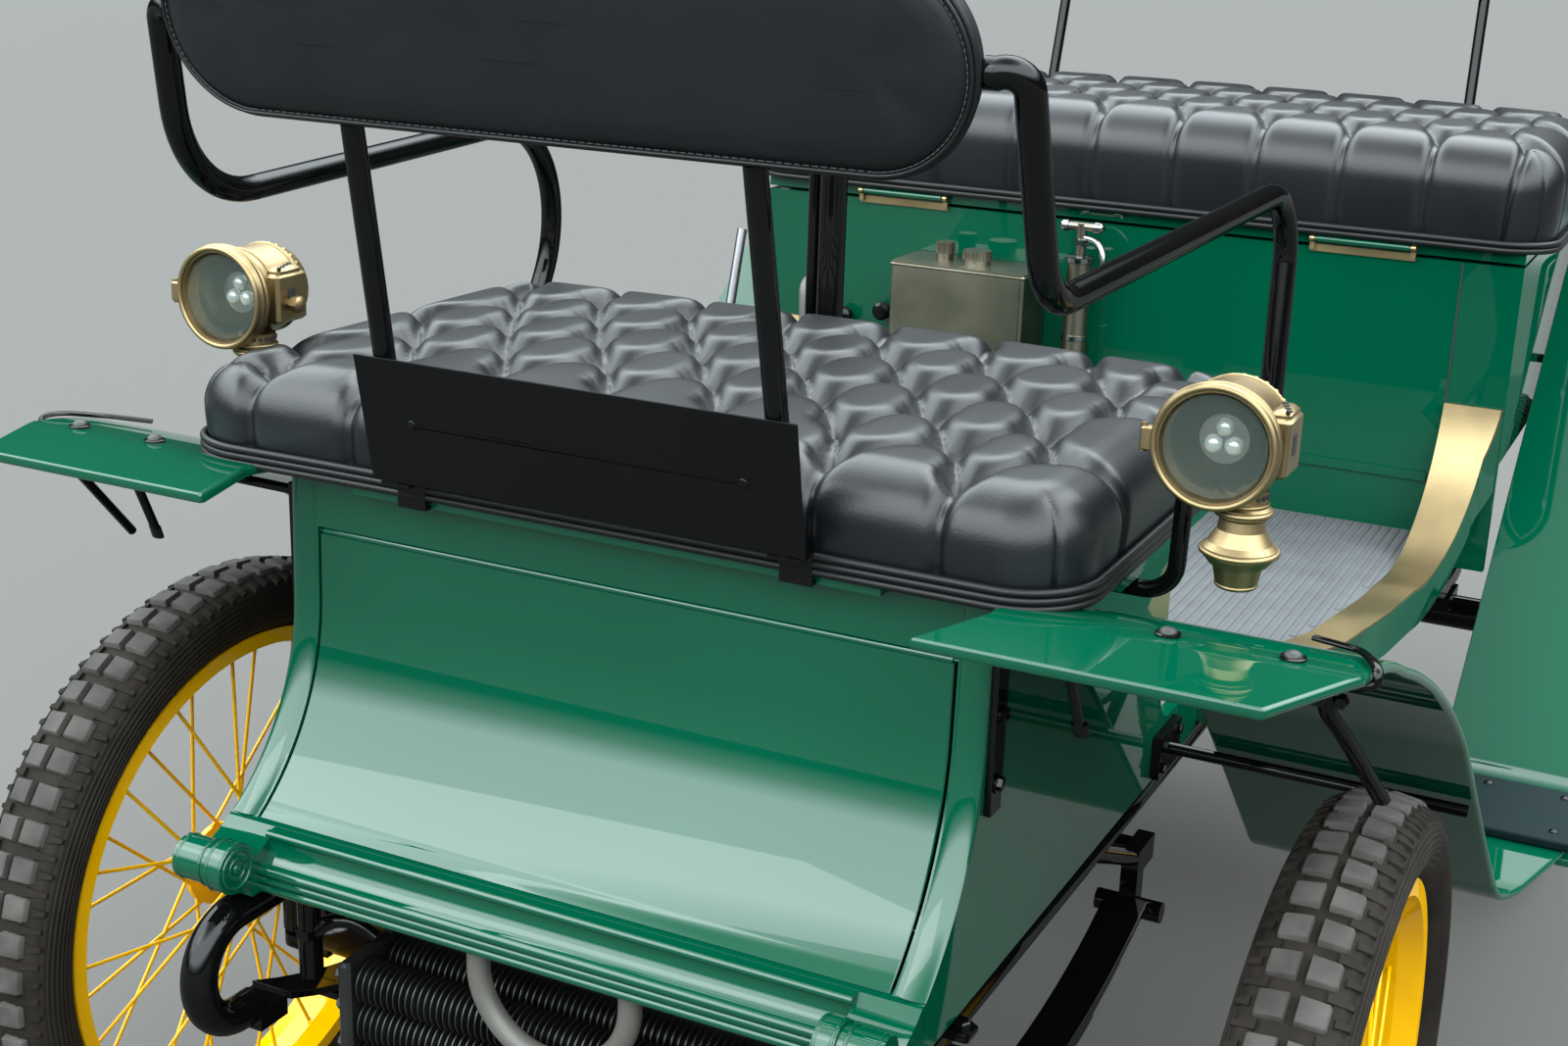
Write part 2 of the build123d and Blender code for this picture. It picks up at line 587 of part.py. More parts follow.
# ---------------------------------------------------------------- plate and lamps
PLATE_LEAN = radians(11.3)
plate_face = Plane(
    origin=(0, at(-253.1), 961), x_dir=(1, 0, 0), z_dir=(0, -cos(PLATE_LEAN), -sin(PLATE_LEAN))
)
with BuildPart() as plate:
    with BuildSketch(plate_face):
        Rectangle(396, 111)
        with Locations((-150, 0), (150, 0)):
            Circle(2.6, mode=Mode.SUBTRACT)
    extrude(amount=2)
finish(plate, "number_plate")

LAMP = (464.0, -119.0, 1004.0)
# drum outline from the ring back: distance behind the front edge, radius
LAMP_OUTLINE = [
    (0, 47), (4, 48), (8, 46), (10, 44), (14, 46), (18, 43), (22, 41), (70, 41), (82, 37), (86, 28), (86, 0),
]
LAMP_FOOT = [
    (0, 0), (0, 14), (4, 16), (18, 19), (20, 23), (26, 28), (32, 28), (36, 24), (46, 18), (54, 17),
    (57, 21), (63, 21), (66, 17), (77, 17), (77, 0),
]
with BuildPart() as lamps:
    for side in (1, -1):
        centre = (side * LAMP[0], at(LAMP[1]), LAMP[2])
        with BuildSketch(Plane(origin=centre, x_dir=(0, 1, 0), z_dir=(1, 0, 0))):
            Polygon((0, 41.5), *LAMP_OUTLINE, (60, 0), (56, 26), (10, 38.5), align=None)
        revolve(axis=Axis(centre, (0, 1, 0)))
        foot = (side * LAMP[0] + 20, at(LAMP[1] + 27), LAMP[2] - 111)
        with BuildSketch(Plane(origin=foot, x_dir=(1, 0, 0), z_dir=(0, -1, 0))):
            Polygon(*[(r, h) for h, r in LAMP_FOOT], align=None)
        revolve(axis=Axis(foot, (0, 0, 1)))
finish(lamps, "lamps")

with BuildPart() as glasses:
    for side in (1, -1):
        with BuildSketch(Plane(origin=(side * LAMP[0], at(LAMP[1] + 3), LAMP[2]), x_dir=(1, 0, 0), z_dir=(0, 1, 0))):
            Circle(39)
        extrude(amount=3)
finish(glasses, "lamp_glasses")

# ---------------------------------------------------------------- fenders
# side views as (kind, points): lines and three-point arcs along the upper face
FENDERS = {
    "front_fenders": (
        [("line", (-322, 893), (-232, 890)),
         ("arc", (-232, 890), (-155, 878), (-78, 850)),
         ("arc", (-78, 850), (75, 779), (222, 680)),
         ("line", (222, 680), (500, 424)),
         ("arc", (500, 424), (545, 391), (600, 380)),
         ("line", (600, 380), (844, 380))],
        [(314, -320), (565, -320), (608, -216), (622, 78), (634, 306), (643, 488), (652, 553),
         (690, 700), (700, 845), (560, 845), (560, 700), (384, 556), (384, 200), (338, 60),
         (338, -188), (341, -235)],
    ),
    "rear_fenders": (
        [("line", (704, 371), (846, 371)),
         ("arc", (846, 371), (866, 379), (880, 398)),
         ("line", (880, 398), (1460, 866)),
         ("arc", (1460, 866), (1555, 922), (1660, 942)),
         ("line", (1660, 942), (1960, 942))],
        [(572, 704), (700, 704), (704, 1100), (700, 1960), (560, 1960), (526, 1900), (526, 900),
         (572, 850)],
    ),
}


def turned(p, q, t, side):
    """p moved by t across the direction from p to q."""
    v = Vector(q[0] - p[0], q[1] - p[1]).normalized()
    return (p[0] + v.Y * t * side, p[1] - v.X * t * side)


def arc_offset(a, m, b, t):
    """The arc a-m-b with its points moved t towards the underside."""
    ax, ay, bx, by, cx, cy = *a, *m, *b
    d = 2 * (ax * (by - cy) + bx * (cy - ay) + cx * (ay - by))
    ux = ((ax**2 + ay**2) * (by - cy) + (bx**2 + by**2) * (cy - ay) + (cx**2 + cy**2) * (ay - by)) / d
    uy = ((ax**2 + ay**2) * (cx - bx) + (bx**2 + by**2) * (ax - cx) + (cx**2 + cy**2) * (bx - ax)) / d
    out = []
    for px, py in (a, m, b):
        v = Vector(px - ux, py - uy).normalized()
        # the underside lies below the upper face
        s = -1 if v.Y > 0 else 1
        out.append((px + v.X * t * s, py + v.Y * t * s))
    return out


for name, (runs, outline) in FENDERS.items():
    # the underside runs BOARD_T below, its joints half way between the two runs' own
    low = []
    for kind, *pts in runs:
        if kind == "line":
            low.append([turned(pts[0], pts[1], BOARD_T, 1), turned(pts[1], pts[0], BOARD_T, -1)])
        else:
            low.append(arc_offset(*pts, BOARD_T))
    for one, two in zip(low, low[1:]):
        joint = ((one[-1][0] + two[0][0]) / 2, (one[-1][1] + two[0][1]) / 2)
        one[-1] = two[0] = joint
    with BuildPart() as fender:
        with BuildSketch(side_plane(200)):
            with BuildLine():
                for kind, *pts in runs:
                    Line(*pts) if kind == "line" else ThreePointArc(*pts)
                Line(runs[-1][-1], low[-1][-1])
                for pts in low:
                    Line(*pts) if len(pts) == 2 else ThreePointArc(*pts)
                Line(low[0][0], runs[0][1])
            make_face()
        extrude(amount=520)
        with BuildSketch(Plane(origin=(0, FRONT_AXLE_Y, 300))):
            Polygon(*outline, align=None)
        extrude(amount=700, mode=Mode.INTERSECT)
        mirror(about=Plane.YZ)
    finish(fender, name)

with BuildPart() as steps:
    board(566, 700, 700, 848, 380.4, STEP_Z)
    mirror(about=Plane.YZ)
finish(steps, "steps")

with BuildPart() as stays:
    # bar across under the front fender, and its plate on the body side
    rod([(BODY_X + 5, at(306), 578), (628, at(306), 578)], 6)
    board(BODY_X + 0.3, BODY_X + 9, 285, 355, 550, 594)
    # strap on the body side, the arm under the board and the iron hanging from it
    board(BODY_X + 0.3, BODY_X + 6, -186, -164, 705, 866)
    rod([(BODY_X + 3, at(-176), 856), (586, at(-206), 871)], 4.5)
    rod([(582, at(-206), 871), (583, at(-200), 851), (610, at(-96), 749)], 4.5, [12])
    rod([(420, at(-285), 881), (424, at(-258), 826)], 4)
    # step iron under the floor, out to the step
    drop = TUBE_Z - TUBE_R - 8.3
    rod([(TUBE_X, at(775), drop), (490, at(775), drop), (530, at(775), 351), (590, at(775), 351)], 8, [30, 16])
    board(585, 690, 765, 785, 350, 361.7)
    # rear fender brackets on the box side
    board(WING_X + 0.3, WING_X + 50, 1380, 1400, 780, 788)
    board(REAR_X + 0.3, 620, 1680, 1700, 924, 932.4)
    mirror(about=Plane.YZ)
finish(stays, "fender_stays")

# ---------------------------------------------------------------- radiator
# gilled tubes: station, height
GILLED = [(-252, 440), (-252, 401), (-252, 362), (-204, 440), (-204, 401), (-204, 362)]
with BuildPart() as radiator:
    for station, z in GILLED:
        with BuildSketch(Plane(origin=(-222, at(station), z), x_dir=(0, 1, 0), z_dir=(1, 0, 0))):
            Circle(21)
        extrude(amount=444)
    for side in (1, -1):
        x0, x1 = sorted((side * 216, side * 230))
        board(x0, x1, -276, -180, 338, 464)
        x0, x1 = sorted((side * 219, side * 227))
        board(x0, x1, -210, -140, 440, 499)
finish(radiator, "radiator")

with BuildPart() as pipe:
    rod([(-64, at(-296), 537.5), (-64, at(-296), 450), (82, at(-296), 450), (82, at(-296), 537.5)], 10, [70, 70])
finish(pipe, "coolant_pipe")

# ---------------------------------------------------------------- tank and pump
with BuildPart() as tank:
    board(-284, -92, 1004, REAR_BOX - 3.3, 690, 888)
    fillet(tank.edges().filter_by(Axis.Z), 6)
    for x, station, r, h in ((-228, 1060, 12, 24), (-178, 1052, 19, 18)):
        with BuildSketch(Plane(origin=(x, at(station), 888))):
            Circle(r)
        extrude(amount=h)
finish(tank, "fuel_tank")

with BuildPart() as pump:
    with BuildSketch(Plane(origin=(-36, at(1060), 720))):
        Circle(16)
    extrude(amount=190)
    with BuildSketch(Plane(origin=(-36, at(1060), 900))):
        Circle(7)
    extrude(amount=56)
    with BuildSketch(Plane(origin=(-60, at(1060), 952), x_dir=(0, 1, 0), z_dir=(1, 0, 0))):
        Circle(6)
    extrude(amount=48)
    board(-44, -28, 1060, REAR_BOX - 3.3, 760, 790)
    board(-44, -28, 1060, REAR_BOX - 0.3, 850, 880)
finish(pump, "oil_pump")

# ---------------------------------------------------------------- steering
with BuildPart() as column:
    with BuildSketch(Plane(origin=(COLUMN[0], at(COLUMN[1]), FLOOR_Z + 0.3))):
        Circle(COLUMN_R)
        Circle(SHAFT_R + FIT, mode=Mode.SUBTRACT)
    extrude(amount=BAR_Z - 44 - FLOOR_Z)
    with BuildSketch(Plane(origin=(COLUMN[0], at(COLUMN[1]), FLOOR_Z + 0.3))):
        Circle(34)
        Circle(SHAFT_R + FIT, mode=Mode.SUBTRACT)
    extrude(amount=8)
    # control tube beside the column
    rod([(COLUMN[0] - 26, at(COLUMN[1] + 12), FLOOR_Z + 0.3), (COLUMN[0] - 26, at(COLUMN[1] + 12), 1215)], 7)
    for z in (760, 1180):
        board(COLUMN[0] - 26, COLUMN[0] - 13, COLUMN[1] + 2, COLUMN[1] + 14, z, z + 10)
finish(column, "steering_column")

with BuildPart() as handlebar:
    with BuildSketch(Plane(origin=(COLUMN[0], at(COLUMN[1]), 314))):
        Circle(SHAFT_R)
    extrude(amount=BAR_Z + 15 - 314)
    with BuildSketch(Plane(origin=(COLUMN[0], at(COLUMN[1]), BAR_Z - 26))):
        Circle(20)
    extrude(amount=44)
    for side in (1, -1):
        rod(
            [(COLUMN[0], at(COLUMN[1]), BAR_Z), (COLUMN[0] + side * 150, at(COLUMN[1] - 10), BAR_Z),
             (COLUMN[0] + side * 225, at(COLUMN[1] + 150), BAR_Z + 10)],
            9, [60],
        )
        rod([(COLUMN[0] + side * 197, at(COLUMN[1] + 90), BAR_Z + 6),
             (COLUMN[0] + side * 235, at(COLUMN[1] + 171), BAR_Z + 11)], 14)
    # drop arm, level with the steering arms
    board(COLUMN[0] - 10, COLUMN[0] + 10, COLUMN[1] - 10, COLUMN[1] + ARM, 314, 326)
    with BuildSketch(Plane(origin=(COLUMN[0], at(COLUMN[1] + ARM), TIE_Z - 12))):
        Circle(5)
    extrude(amount=36)
finish(handlebar, "handlebar")

with BuildPart() as controls:
    rod([(-335, at(556), FLOOR_Z + 8), (-335, at(665), 972)], 6)
    board(-345, -325, 520, 590, FLOOR_Z + 0.3, FLOOR_Z + 14)
    for x in (-170, -20):
        rod([(x, at(900), FLOOR_Z + 5), (x, at(860), 680)], 6)
        board(x - 14, x + 14, 884, 916, FLOOR_Z + 0.3, FLOOR_Z + 12)
        with Locations((x, at(856), 688)):
            Box(60, 14, 60)
finish(controls, "floor_controls")
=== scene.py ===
import bpy, bmesh, json, math, random
import numpy as np
from mathutils import Vector, Matrix

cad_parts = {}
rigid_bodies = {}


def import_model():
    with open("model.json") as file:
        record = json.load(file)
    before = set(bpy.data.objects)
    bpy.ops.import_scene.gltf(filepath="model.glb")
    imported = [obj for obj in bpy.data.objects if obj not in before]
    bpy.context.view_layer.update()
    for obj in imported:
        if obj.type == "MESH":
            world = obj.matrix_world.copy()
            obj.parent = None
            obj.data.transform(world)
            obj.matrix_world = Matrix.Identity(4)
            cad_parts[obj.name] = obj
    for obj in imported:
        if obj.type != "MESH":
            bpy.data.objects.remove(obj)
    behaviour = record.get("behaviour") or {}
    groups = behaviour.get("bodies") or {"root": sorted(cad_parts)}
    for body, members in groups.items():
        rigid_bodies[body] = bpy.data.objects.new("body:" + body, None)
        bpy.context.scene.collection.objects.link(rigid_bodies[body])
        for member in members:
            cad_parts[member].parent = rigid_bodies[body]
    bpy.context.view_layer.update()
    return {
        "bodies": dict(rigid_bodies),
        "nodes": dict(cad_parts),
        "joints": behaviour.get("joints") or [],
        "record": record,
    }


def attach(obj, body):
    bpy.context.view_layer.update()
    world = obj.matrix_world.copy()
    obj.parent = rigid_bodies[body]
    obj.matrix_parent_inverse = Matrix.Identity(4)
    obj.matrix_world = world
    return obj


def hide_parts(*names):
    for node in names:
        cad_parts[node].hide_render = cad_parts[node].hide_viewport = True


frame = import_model()
N = frame["nodes"]
scene = bpy.context.scene
FA = -0.784          # front axle, in metres; stations run back from it


def at(y):
    return FA + y


# ------------------------------------------------------------ materials
def mat(name, color, rough=0.5, metal=0.0, coat=0.0, coat_rough=0.05, spec=0.5):
    m = bpy.data.materials.new(name)
    m.use_nodes = True
    b = m.node_tree.nodes["Principled BSDF"]
    b.inputs["Base Color"].default_value = (*color, 1)
    b.inputs["Roughness"].default_value = rough
    b.inputs["Metallic"].default_value = metal
    b.inputs["Coat Weight"].default_value = coat
    b.inputs["Coat Roughness"].default_value = coat_rough
    b.inputs["Specular IOR Level"].default_value = spec
    return m


def nodes_of(m):
    t = m.node_tree
    return t, t.nodes["Principled BSDF"]


def vary(m, scale, amount, rough=0.0, bump=0.0, bump_scale=None, detail=6.0, distance=0.001):
    """Soft change of tone, of gloss and a fine grain, in object space."""
    t, b = nodes_of(m)
    tc = t.nodes.new("ShaderNodeTexCoord")
    n = t.nodes.new("ShaderNodeTexNoise")
    n.inputs["Scale"].default_value = scale
    n.inputs["Detail"].default_value = detail
    t.links.new(tc.outputs["Object"], n.inputs["Vector"])
    if amount:
        base = tuple(b.inputs["Base Color"].default_value)
        r = t.nodes.new("ShaderNodeValToRGB")
        r.color_ramp.elements[0].position = 0.3
        r.color_ramp.elements[1].position = 0.7
        r.color_ramp.elements[0].color = tuple(max(0, c * (1 - amount)) for c in base[:3]) + (1,)
        r.color_ramp.elements[1].color = tuple(min(1, c * (1 + amount)) for c in base[:3]) + (1,)
        t.links.new(n.outputs["Fac"], r.inputs["Fac"])
        t.links.new(r.outputs["Color"], b.inputs["Base Color"])
    if rough:
        mr = t.nodes.new("ShaderNodeMapRange")
        v = b.inputs["Roughness"].default_value
        mr.inputs["To Min"].default_value = max(0.02, v - rough)
        mr.inputs["To Max"].default_value = min(1, v + rough)
        t.links.new(n.outputs["Fac"], mr.inputs["Value"])
        t.links.new(mr.outputs["Result"], b.inputs["Roughness"])
    if bump:
        n2 = t.nodes.new("ShaderNodeTexNoise")
        n2.inputs["Scale"].default_value = bump_scale or scale * 8
        n2.inputs["Detail"].default_value = 8
        t.links.new(tc.outputs["Object"], n2.inputs["Vector"])
        bp = t.nodes.new("ShaderNodeBump")
        bp.inputs["Strength"].default_value = bump
        bp.inputs["Distance"].default_value = distance
        t.links.new(n2.outputs["Fac"], bp.inputs["Height"])
        t.links.new(bp.outputs["Normal"], b.inputs["Normal"])
    return m


GREEN = vary(mat("green_paint", (0.0, 0.040, 0.0195), 0.45, 0, 0.9, 0.02, 0.0), 2.5, 0.10, 0.03)
BLACK = vary(mat("black_enamel", (0.0015, 0.0015, 0.0016), 0.3, 0, 0.42, 0.04, 0.0), 8, 0.2, 0.05)
YELLOW = vary(mat("yellow_paint", (0.56, 0.285, 0.0), 0.35, 0, 0.6, 0.05, 0.0), 6, 0.06, 0.03)
RUBBER = vary(mat("tyre_rubber", (0.0105, 0.0083, 0.0065), 0.7, 0, 0, 0.1, 0.1), 30, 0.35, 0.08, 0.15, 260)
TREAD = vary(mat("tread_rubber", (0.036, 0.0330, 0.0302), 0.82, 0, 0, 0.1, 0.25), 26, 0.4, 0.06, 0.2, 300)
BRASS = vary(mat("brass", (0.235, 0.176, 0.092), 0.40, 1.0), 12, 0.16, 0.08, 0.05, 300)
NICKEL = vary(mat("nickel", (0.19, 0.175, 0.135), 0.32, 1.0), 14, 0.15, 0.08, 0.05, 200)
STEEL = vary(mat("steel", (0.17, 0.17, 0.175), 0.3, 1.0), 18, 0.1, 0.06)
LEATHER = vary(mat("leather", (0.0027, 0.0033, 0.0046), 0.35, 0, 0.0, 0.1, 0.33), 9, 0.2, 0.05, 0.25, 420, distance=0.0006)
PADLEATHER = vary(mat("pad_leather", (0.0024, 0.0030, 0.0038), 0.5, 0, 0.0, 0.1, 0.25), 9, 0.2, 0.05, 0.2, 420, distance=0.0006)
MATGREY = vary(mat("floor_mat", (0.050, 0.054, 0.058), 0.8), 20, 0.15, 0.05)
IRON = vary(mat("iron", (0.02, 0.02, 0.021), 0.5, 0.4), 20, 0.3, 0.1, 0.2, 150)
STEPBLACK = vary(mat("step_black", (0.001, 0.0065, 0.0075), 0.6, 0, 0.0, 0.1, 0.08), 15, 0.2, 0.05)
PLATE = vary(mat("plate_black", (0.0018, 0.0018, 0.0019), 0.55, 0, 0, 0.1, 0.08), 6, 0.1, 0.04)
GLASS = mat("lamp_glass", (0.2, 0.25, 0.22), 0.03, 0, 0, 0.05, 0.6)
GLASS.node_tree.nodes["Principled BSDF"].inputs["Alpha"].default_value = 0.08

PIPING = mat("piping_leather", (0.0025, 0.0028, 0.0032), 0.45, 0, 0.0, 0.2, 0.25)
THREAD = mat("thread", (0.01, 0.01, 0.011), 0.7)
RADIATOR = vary(mat("radiator_black", (0.003, 0.003, 0.003), 0.45), 30, 0.3, 0.1)
CHROME = vary(mat("bright_metal", (0.22, 0.225, 0.23), 0.16, 1.0), 20, 0.08, 0.06)
REFLECTOR = vary(mat("reflector", (0.098, 0.094, 0.044), 0.26, 1.0), 20, 0.1, 0.05)
BULB = mat("bulb", (0.3, 0.34, 0.33), 0.06, 0.3, 1.0, 0.02)
# one dark colour: painted shade in the lamps' window and vents, and the dark seams of the rear box
SHADE_AND_SEAM_DARK = mat("opening_shade_and_seam_dark", (0.002, 0.002, 0.002), 0.8)
PIPE = vary(mat("grey_pipe", (0.06, 0.057, 0.05), 0.5), 20, 0.15, 0.08)

LOOKS = {
    "frame": BLACK, "springs": BLACK, "front_axle": BLACK, "rear_axle": BLACK, "knuckle_left": BLACK,
    "knuckle_right": BLACK, "tie_rod": STEEL, "engine": IRON, "floor": MATGREY,
    "body_sills": GREEN, "sill_caps": BRASS, "front_seat_frame": GREEN,
    "front_body_panels": GREEN, "front_door": GREEN,
    "rear_body_panels": GREEN, "rear_seat_lid": GREEN, "lid_hinges": BRASS,
    "front_cushion": LEATHER, "rear_cushion": LEATHER, "front_backrest": PADLEATHER,
    "rear_backrest": PADLEATHER, "front_seat_irons": BLACK, "rear_seat_irons": BLACK,
    "number_plate": PLATE, "lamps": BRASS, "lamp_glasses": GLASS, "front_fenders": GREEN,
    "rear_fenders": GREEN, "steps": STEPBLACK, "fender_stays": BLACK, "radiator": BLACK,
    "coolant_pipe": PIPE, "fuel_tank": NICKEL, "oil_pump": NICKEL, "steering_column": BLACK,
    "handlebar": STEEL, "floor_controls": STEEL,
}
for n, o in N.items():
    look = RUBBER if n.startswith("tyre") else YELLOW if n.startswith("wheel") else LOOKS[n]
    o.data.materials.clear()
    o.data.materials.append(look)


# ------------------------------------------------------------ mesh helpers (millimetres in, metres out)
def unit(v):
    v = np.asarray(v, float)
    return v / np.linalg.norm(v)


def across(d):
    """Two unit vectors square to d."""
    d = unit(d)
    a = np.cross(d, (0, 0, 1.0)) if abs(d[2]) < 0.9 else np.cross(d, (0, 1.0, 0))
    a = unit(a)
    return a, np.cross(d, a)


def smooth_path(points, n=8):
    """A rounded line through points (Catmull-Rom)."""
    p = [np.asarray(q, float) for q in points]
    p = [2 * p[0] - p[1], *p, 2 * p[-1] - p[-2]]
    out = []
    for a, b, c, d in zip(p, p[1:], p[2:], p[3:]):
        for k in range(n):
            t = k / n
            out.append(0.5 * (2 * b + (c - a) * t + (2 * a - 5 * b + 4 * c - d) * t**2 + (3 * b - a - 3 * c + d) * t**3))
    out.append(p[-2])
    return out


class Soup:
    """Gathers closed shapes and makes one mesh of them. Positions are (x, y, z) in mm in the part's frame."""

    def __init__(self):
        self.v, self.f = [], []

    def rings(self, rings, closed=False, caps=True):
        n = len(rings[0])
        base = len(self.v)
        for r in rings:
            self.v.extend(tuple(p) for p in r)
        m = len(rings)
        for i in range(m if closed else m - 1):
            a, b = base + i * n, base + ((i + 1) % m) * n
            for j in range(n):
                k = (j + 1) % n
                self.f.append((a + j, a + k, b + k, b + j))
        if caps and not closed:
            self.f.append(tuple(base + j for j in reversed(range(n))))
            self.f.append(tuple(base + (m - 1) * n + j for j in range(n)))

    def revolve(self, profile, origin, axis, segs=32):
        """profile: (distance along axis, radius); a closed loop if its first and last points meet."""
        a, b = across(axis)
        axis, origin = unit(axis), np.asarray(origin, float)
        loop = profile[0] == profile[-1]
        if loop:
            profile = profile[:-1]
        t = np.linspace(0, 2 * math.pi, segs, endpoint=False)
        ring = [origin + axis * h + r * (np.cos(t)[:, None] * a + np.sin(t)[:, None] * b) for h, r in profile]
        self.rings(ring, closed=loop)

    def box(self, lo, hi, frame=None, bevel=0.0):
        lo, hi = np.asarray(lo, float), np.asarray(hi, float)
        c, h = (lo + hi) / 2, (hi - lo) / 2
        o, ex, ey, ez = frame if frame else ((0, 0, 0), (1, 0, 0), (0, 1, 0), (0, 0, 1))
        o, ex, ey, ez = (np.asarray(q, float) for q in (o, ex, ey, ez))
        rr = []
        b = min(bevel, h[0] * 0.9, h[1] * 0.9, h[2] * 0.9)
        levels = [(-h[2], b), (-h[2] + b, 0), (h[2] - b, 0), (h[2], b)] if b else [(-h[2], 0), (h[2], 0)]
        for z, inset in levels:
            x, y = h[0] - inset, h[1] - inset
            if b:
                pts = [(-x + b, -y), (x - b, -y), (x, -y + b), (x, y - b), (x - b, y), (-x + b, y), (-x, y - b), (-x, -y + b)]
            else:
                pts = [(-x, -y), (x, -y), (x, y), (-x, y)]
            rr.append([o + (c[0] + px) * ex + (c[1] + py) * ey + (c[2] + z) * ez for px, py in pts])
        self.rings(rr)

    def tube(self, points, radius, segs=14, closed=False, flat=None):
        """Round bar along points; flat=(half width, half thickness) makes a strap."""
        p = [np.asarray(q, float) for q in points]
        n = len(p)
        tang = []
        for i in range(n):
            if closed:
                tang.append(unit(p[(i + 1) % n] - p[i - 1]))
            else:
                tang.append(unit(p[min(i + 1, n - 1)] - p[max(i - 1, 0)]))
        a, b = across(tang[0])
        t = np.linspace(0, 2 * math.pi, segs, endpoint=False)
        out = []
        for i in range(n):
            a = unit(a - np.dot(a, tang[i]) * tang[i])
            b = np.cross(tang[i], a)
            w, h = flat if flat else (radius, radius)
            out.append(p[i] + w * np.cos(t)[:, None] * a + h * np.sin(t)[:, None] * b)
        self.rings(out, closed=closed)

    def dome(self, at_, axis, r=8.0, h=4.0, segs=24, under=1.0):
        prof = [(-under, 0.01), (-under, r)] + [(h * math.sin(a), r * math.cos(a)) for a in np.linspace(0, 1.45, 7)]
        self.revolve(prof, at_, axis, segs)

    def hexnut(self, at_, axis, r=7.0, h=5.0):
        self.revolve([(-1, r), (h - 1.2, r), (h, r * 0.86)], at_, axis, 6)

    def make(self, name, material, body, slot, angle=35, replaces=()):
        me = bpy.data.meshes.new(name)
        me.from_pydata([(x / 1000, y / 1000, z / 1000) for x, y, z in self.v], [], self.f)
        return adopt(me, name, material, body, angle, replaces)


def adopt(me, name, material, body, angle=35, replaces=()):
    bm = bmesh.new()
    bm.from_mesh(me)
    bmesh.ops.remove_doubles(bm, verts=bm.verts, dist=1e-6)
    bmesh.ops.recalc_face_normals(bm, faces=bm.faces)
    bm.to_mesh(me)
    bm.free()
    me.polygons.foreach_set("use_smooth", [True] * len(me.polygons))
    if angle < 180:
        me.set_sharp_from_angle(angle=math.radians(angle))
    me.materials.append(material)
    o = bpy.data.objects.new(name, me)
    scene.collection.objects.link(o)
    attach(o, body)
    if replaces:
        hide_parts(*replaces)
    return o


def grid_object(P, name, material, body, replaces=()):
    """A closed cushion skin from a grid of points, its rim closed by one flat underside."""
    nx, ny = P.shape[:2]
    idx = np.arange(nx * ny).reshape(nx, ny)
    quads = np.stack([idx[:-1, :-1], idx[1:, :-1], idx[1:, 1:], idx[:-1, 1:]], -1).reshape(-1, 4)
    rim = [*idx[:, 0], *idx[-1, 1:], *idx[-2::-1, -1], *idx[0, -2:0:-1]]
    me = bpy.data.meshes.new(name)
    me.from_pydata((P.reshape(-1, 3) / 1000).tolist(), [], quads.tolist() + [list(map(int, rim))[::-1]])
    return adopt(me, name, material, body, 180, replaces)


# ------------------------------------------------------------ tufted cushions
def seg_dist(X, Y, a, b):
    ax, ay, bx, by = *a, *b
    dx, dy = bx - ax, by - ay
    L = dx * dx + dy * dy
    t = np.clip(((X - ax) * dx + (Y - ay) * dy) / L, 0, 1)
    return np.hypot(X - ax - t * dx, Y - ay - t * dy), t


def spread(x, y):
    """Share of the front cushion's bulge beyond its outline at its right front corner."""
    return np.exp(-(((np.asarray(x) + 412.0) / 115.0) ** 2 + ((np.asarray(y) - FA * 1000 + 214.0) / 150.0) ** 2))


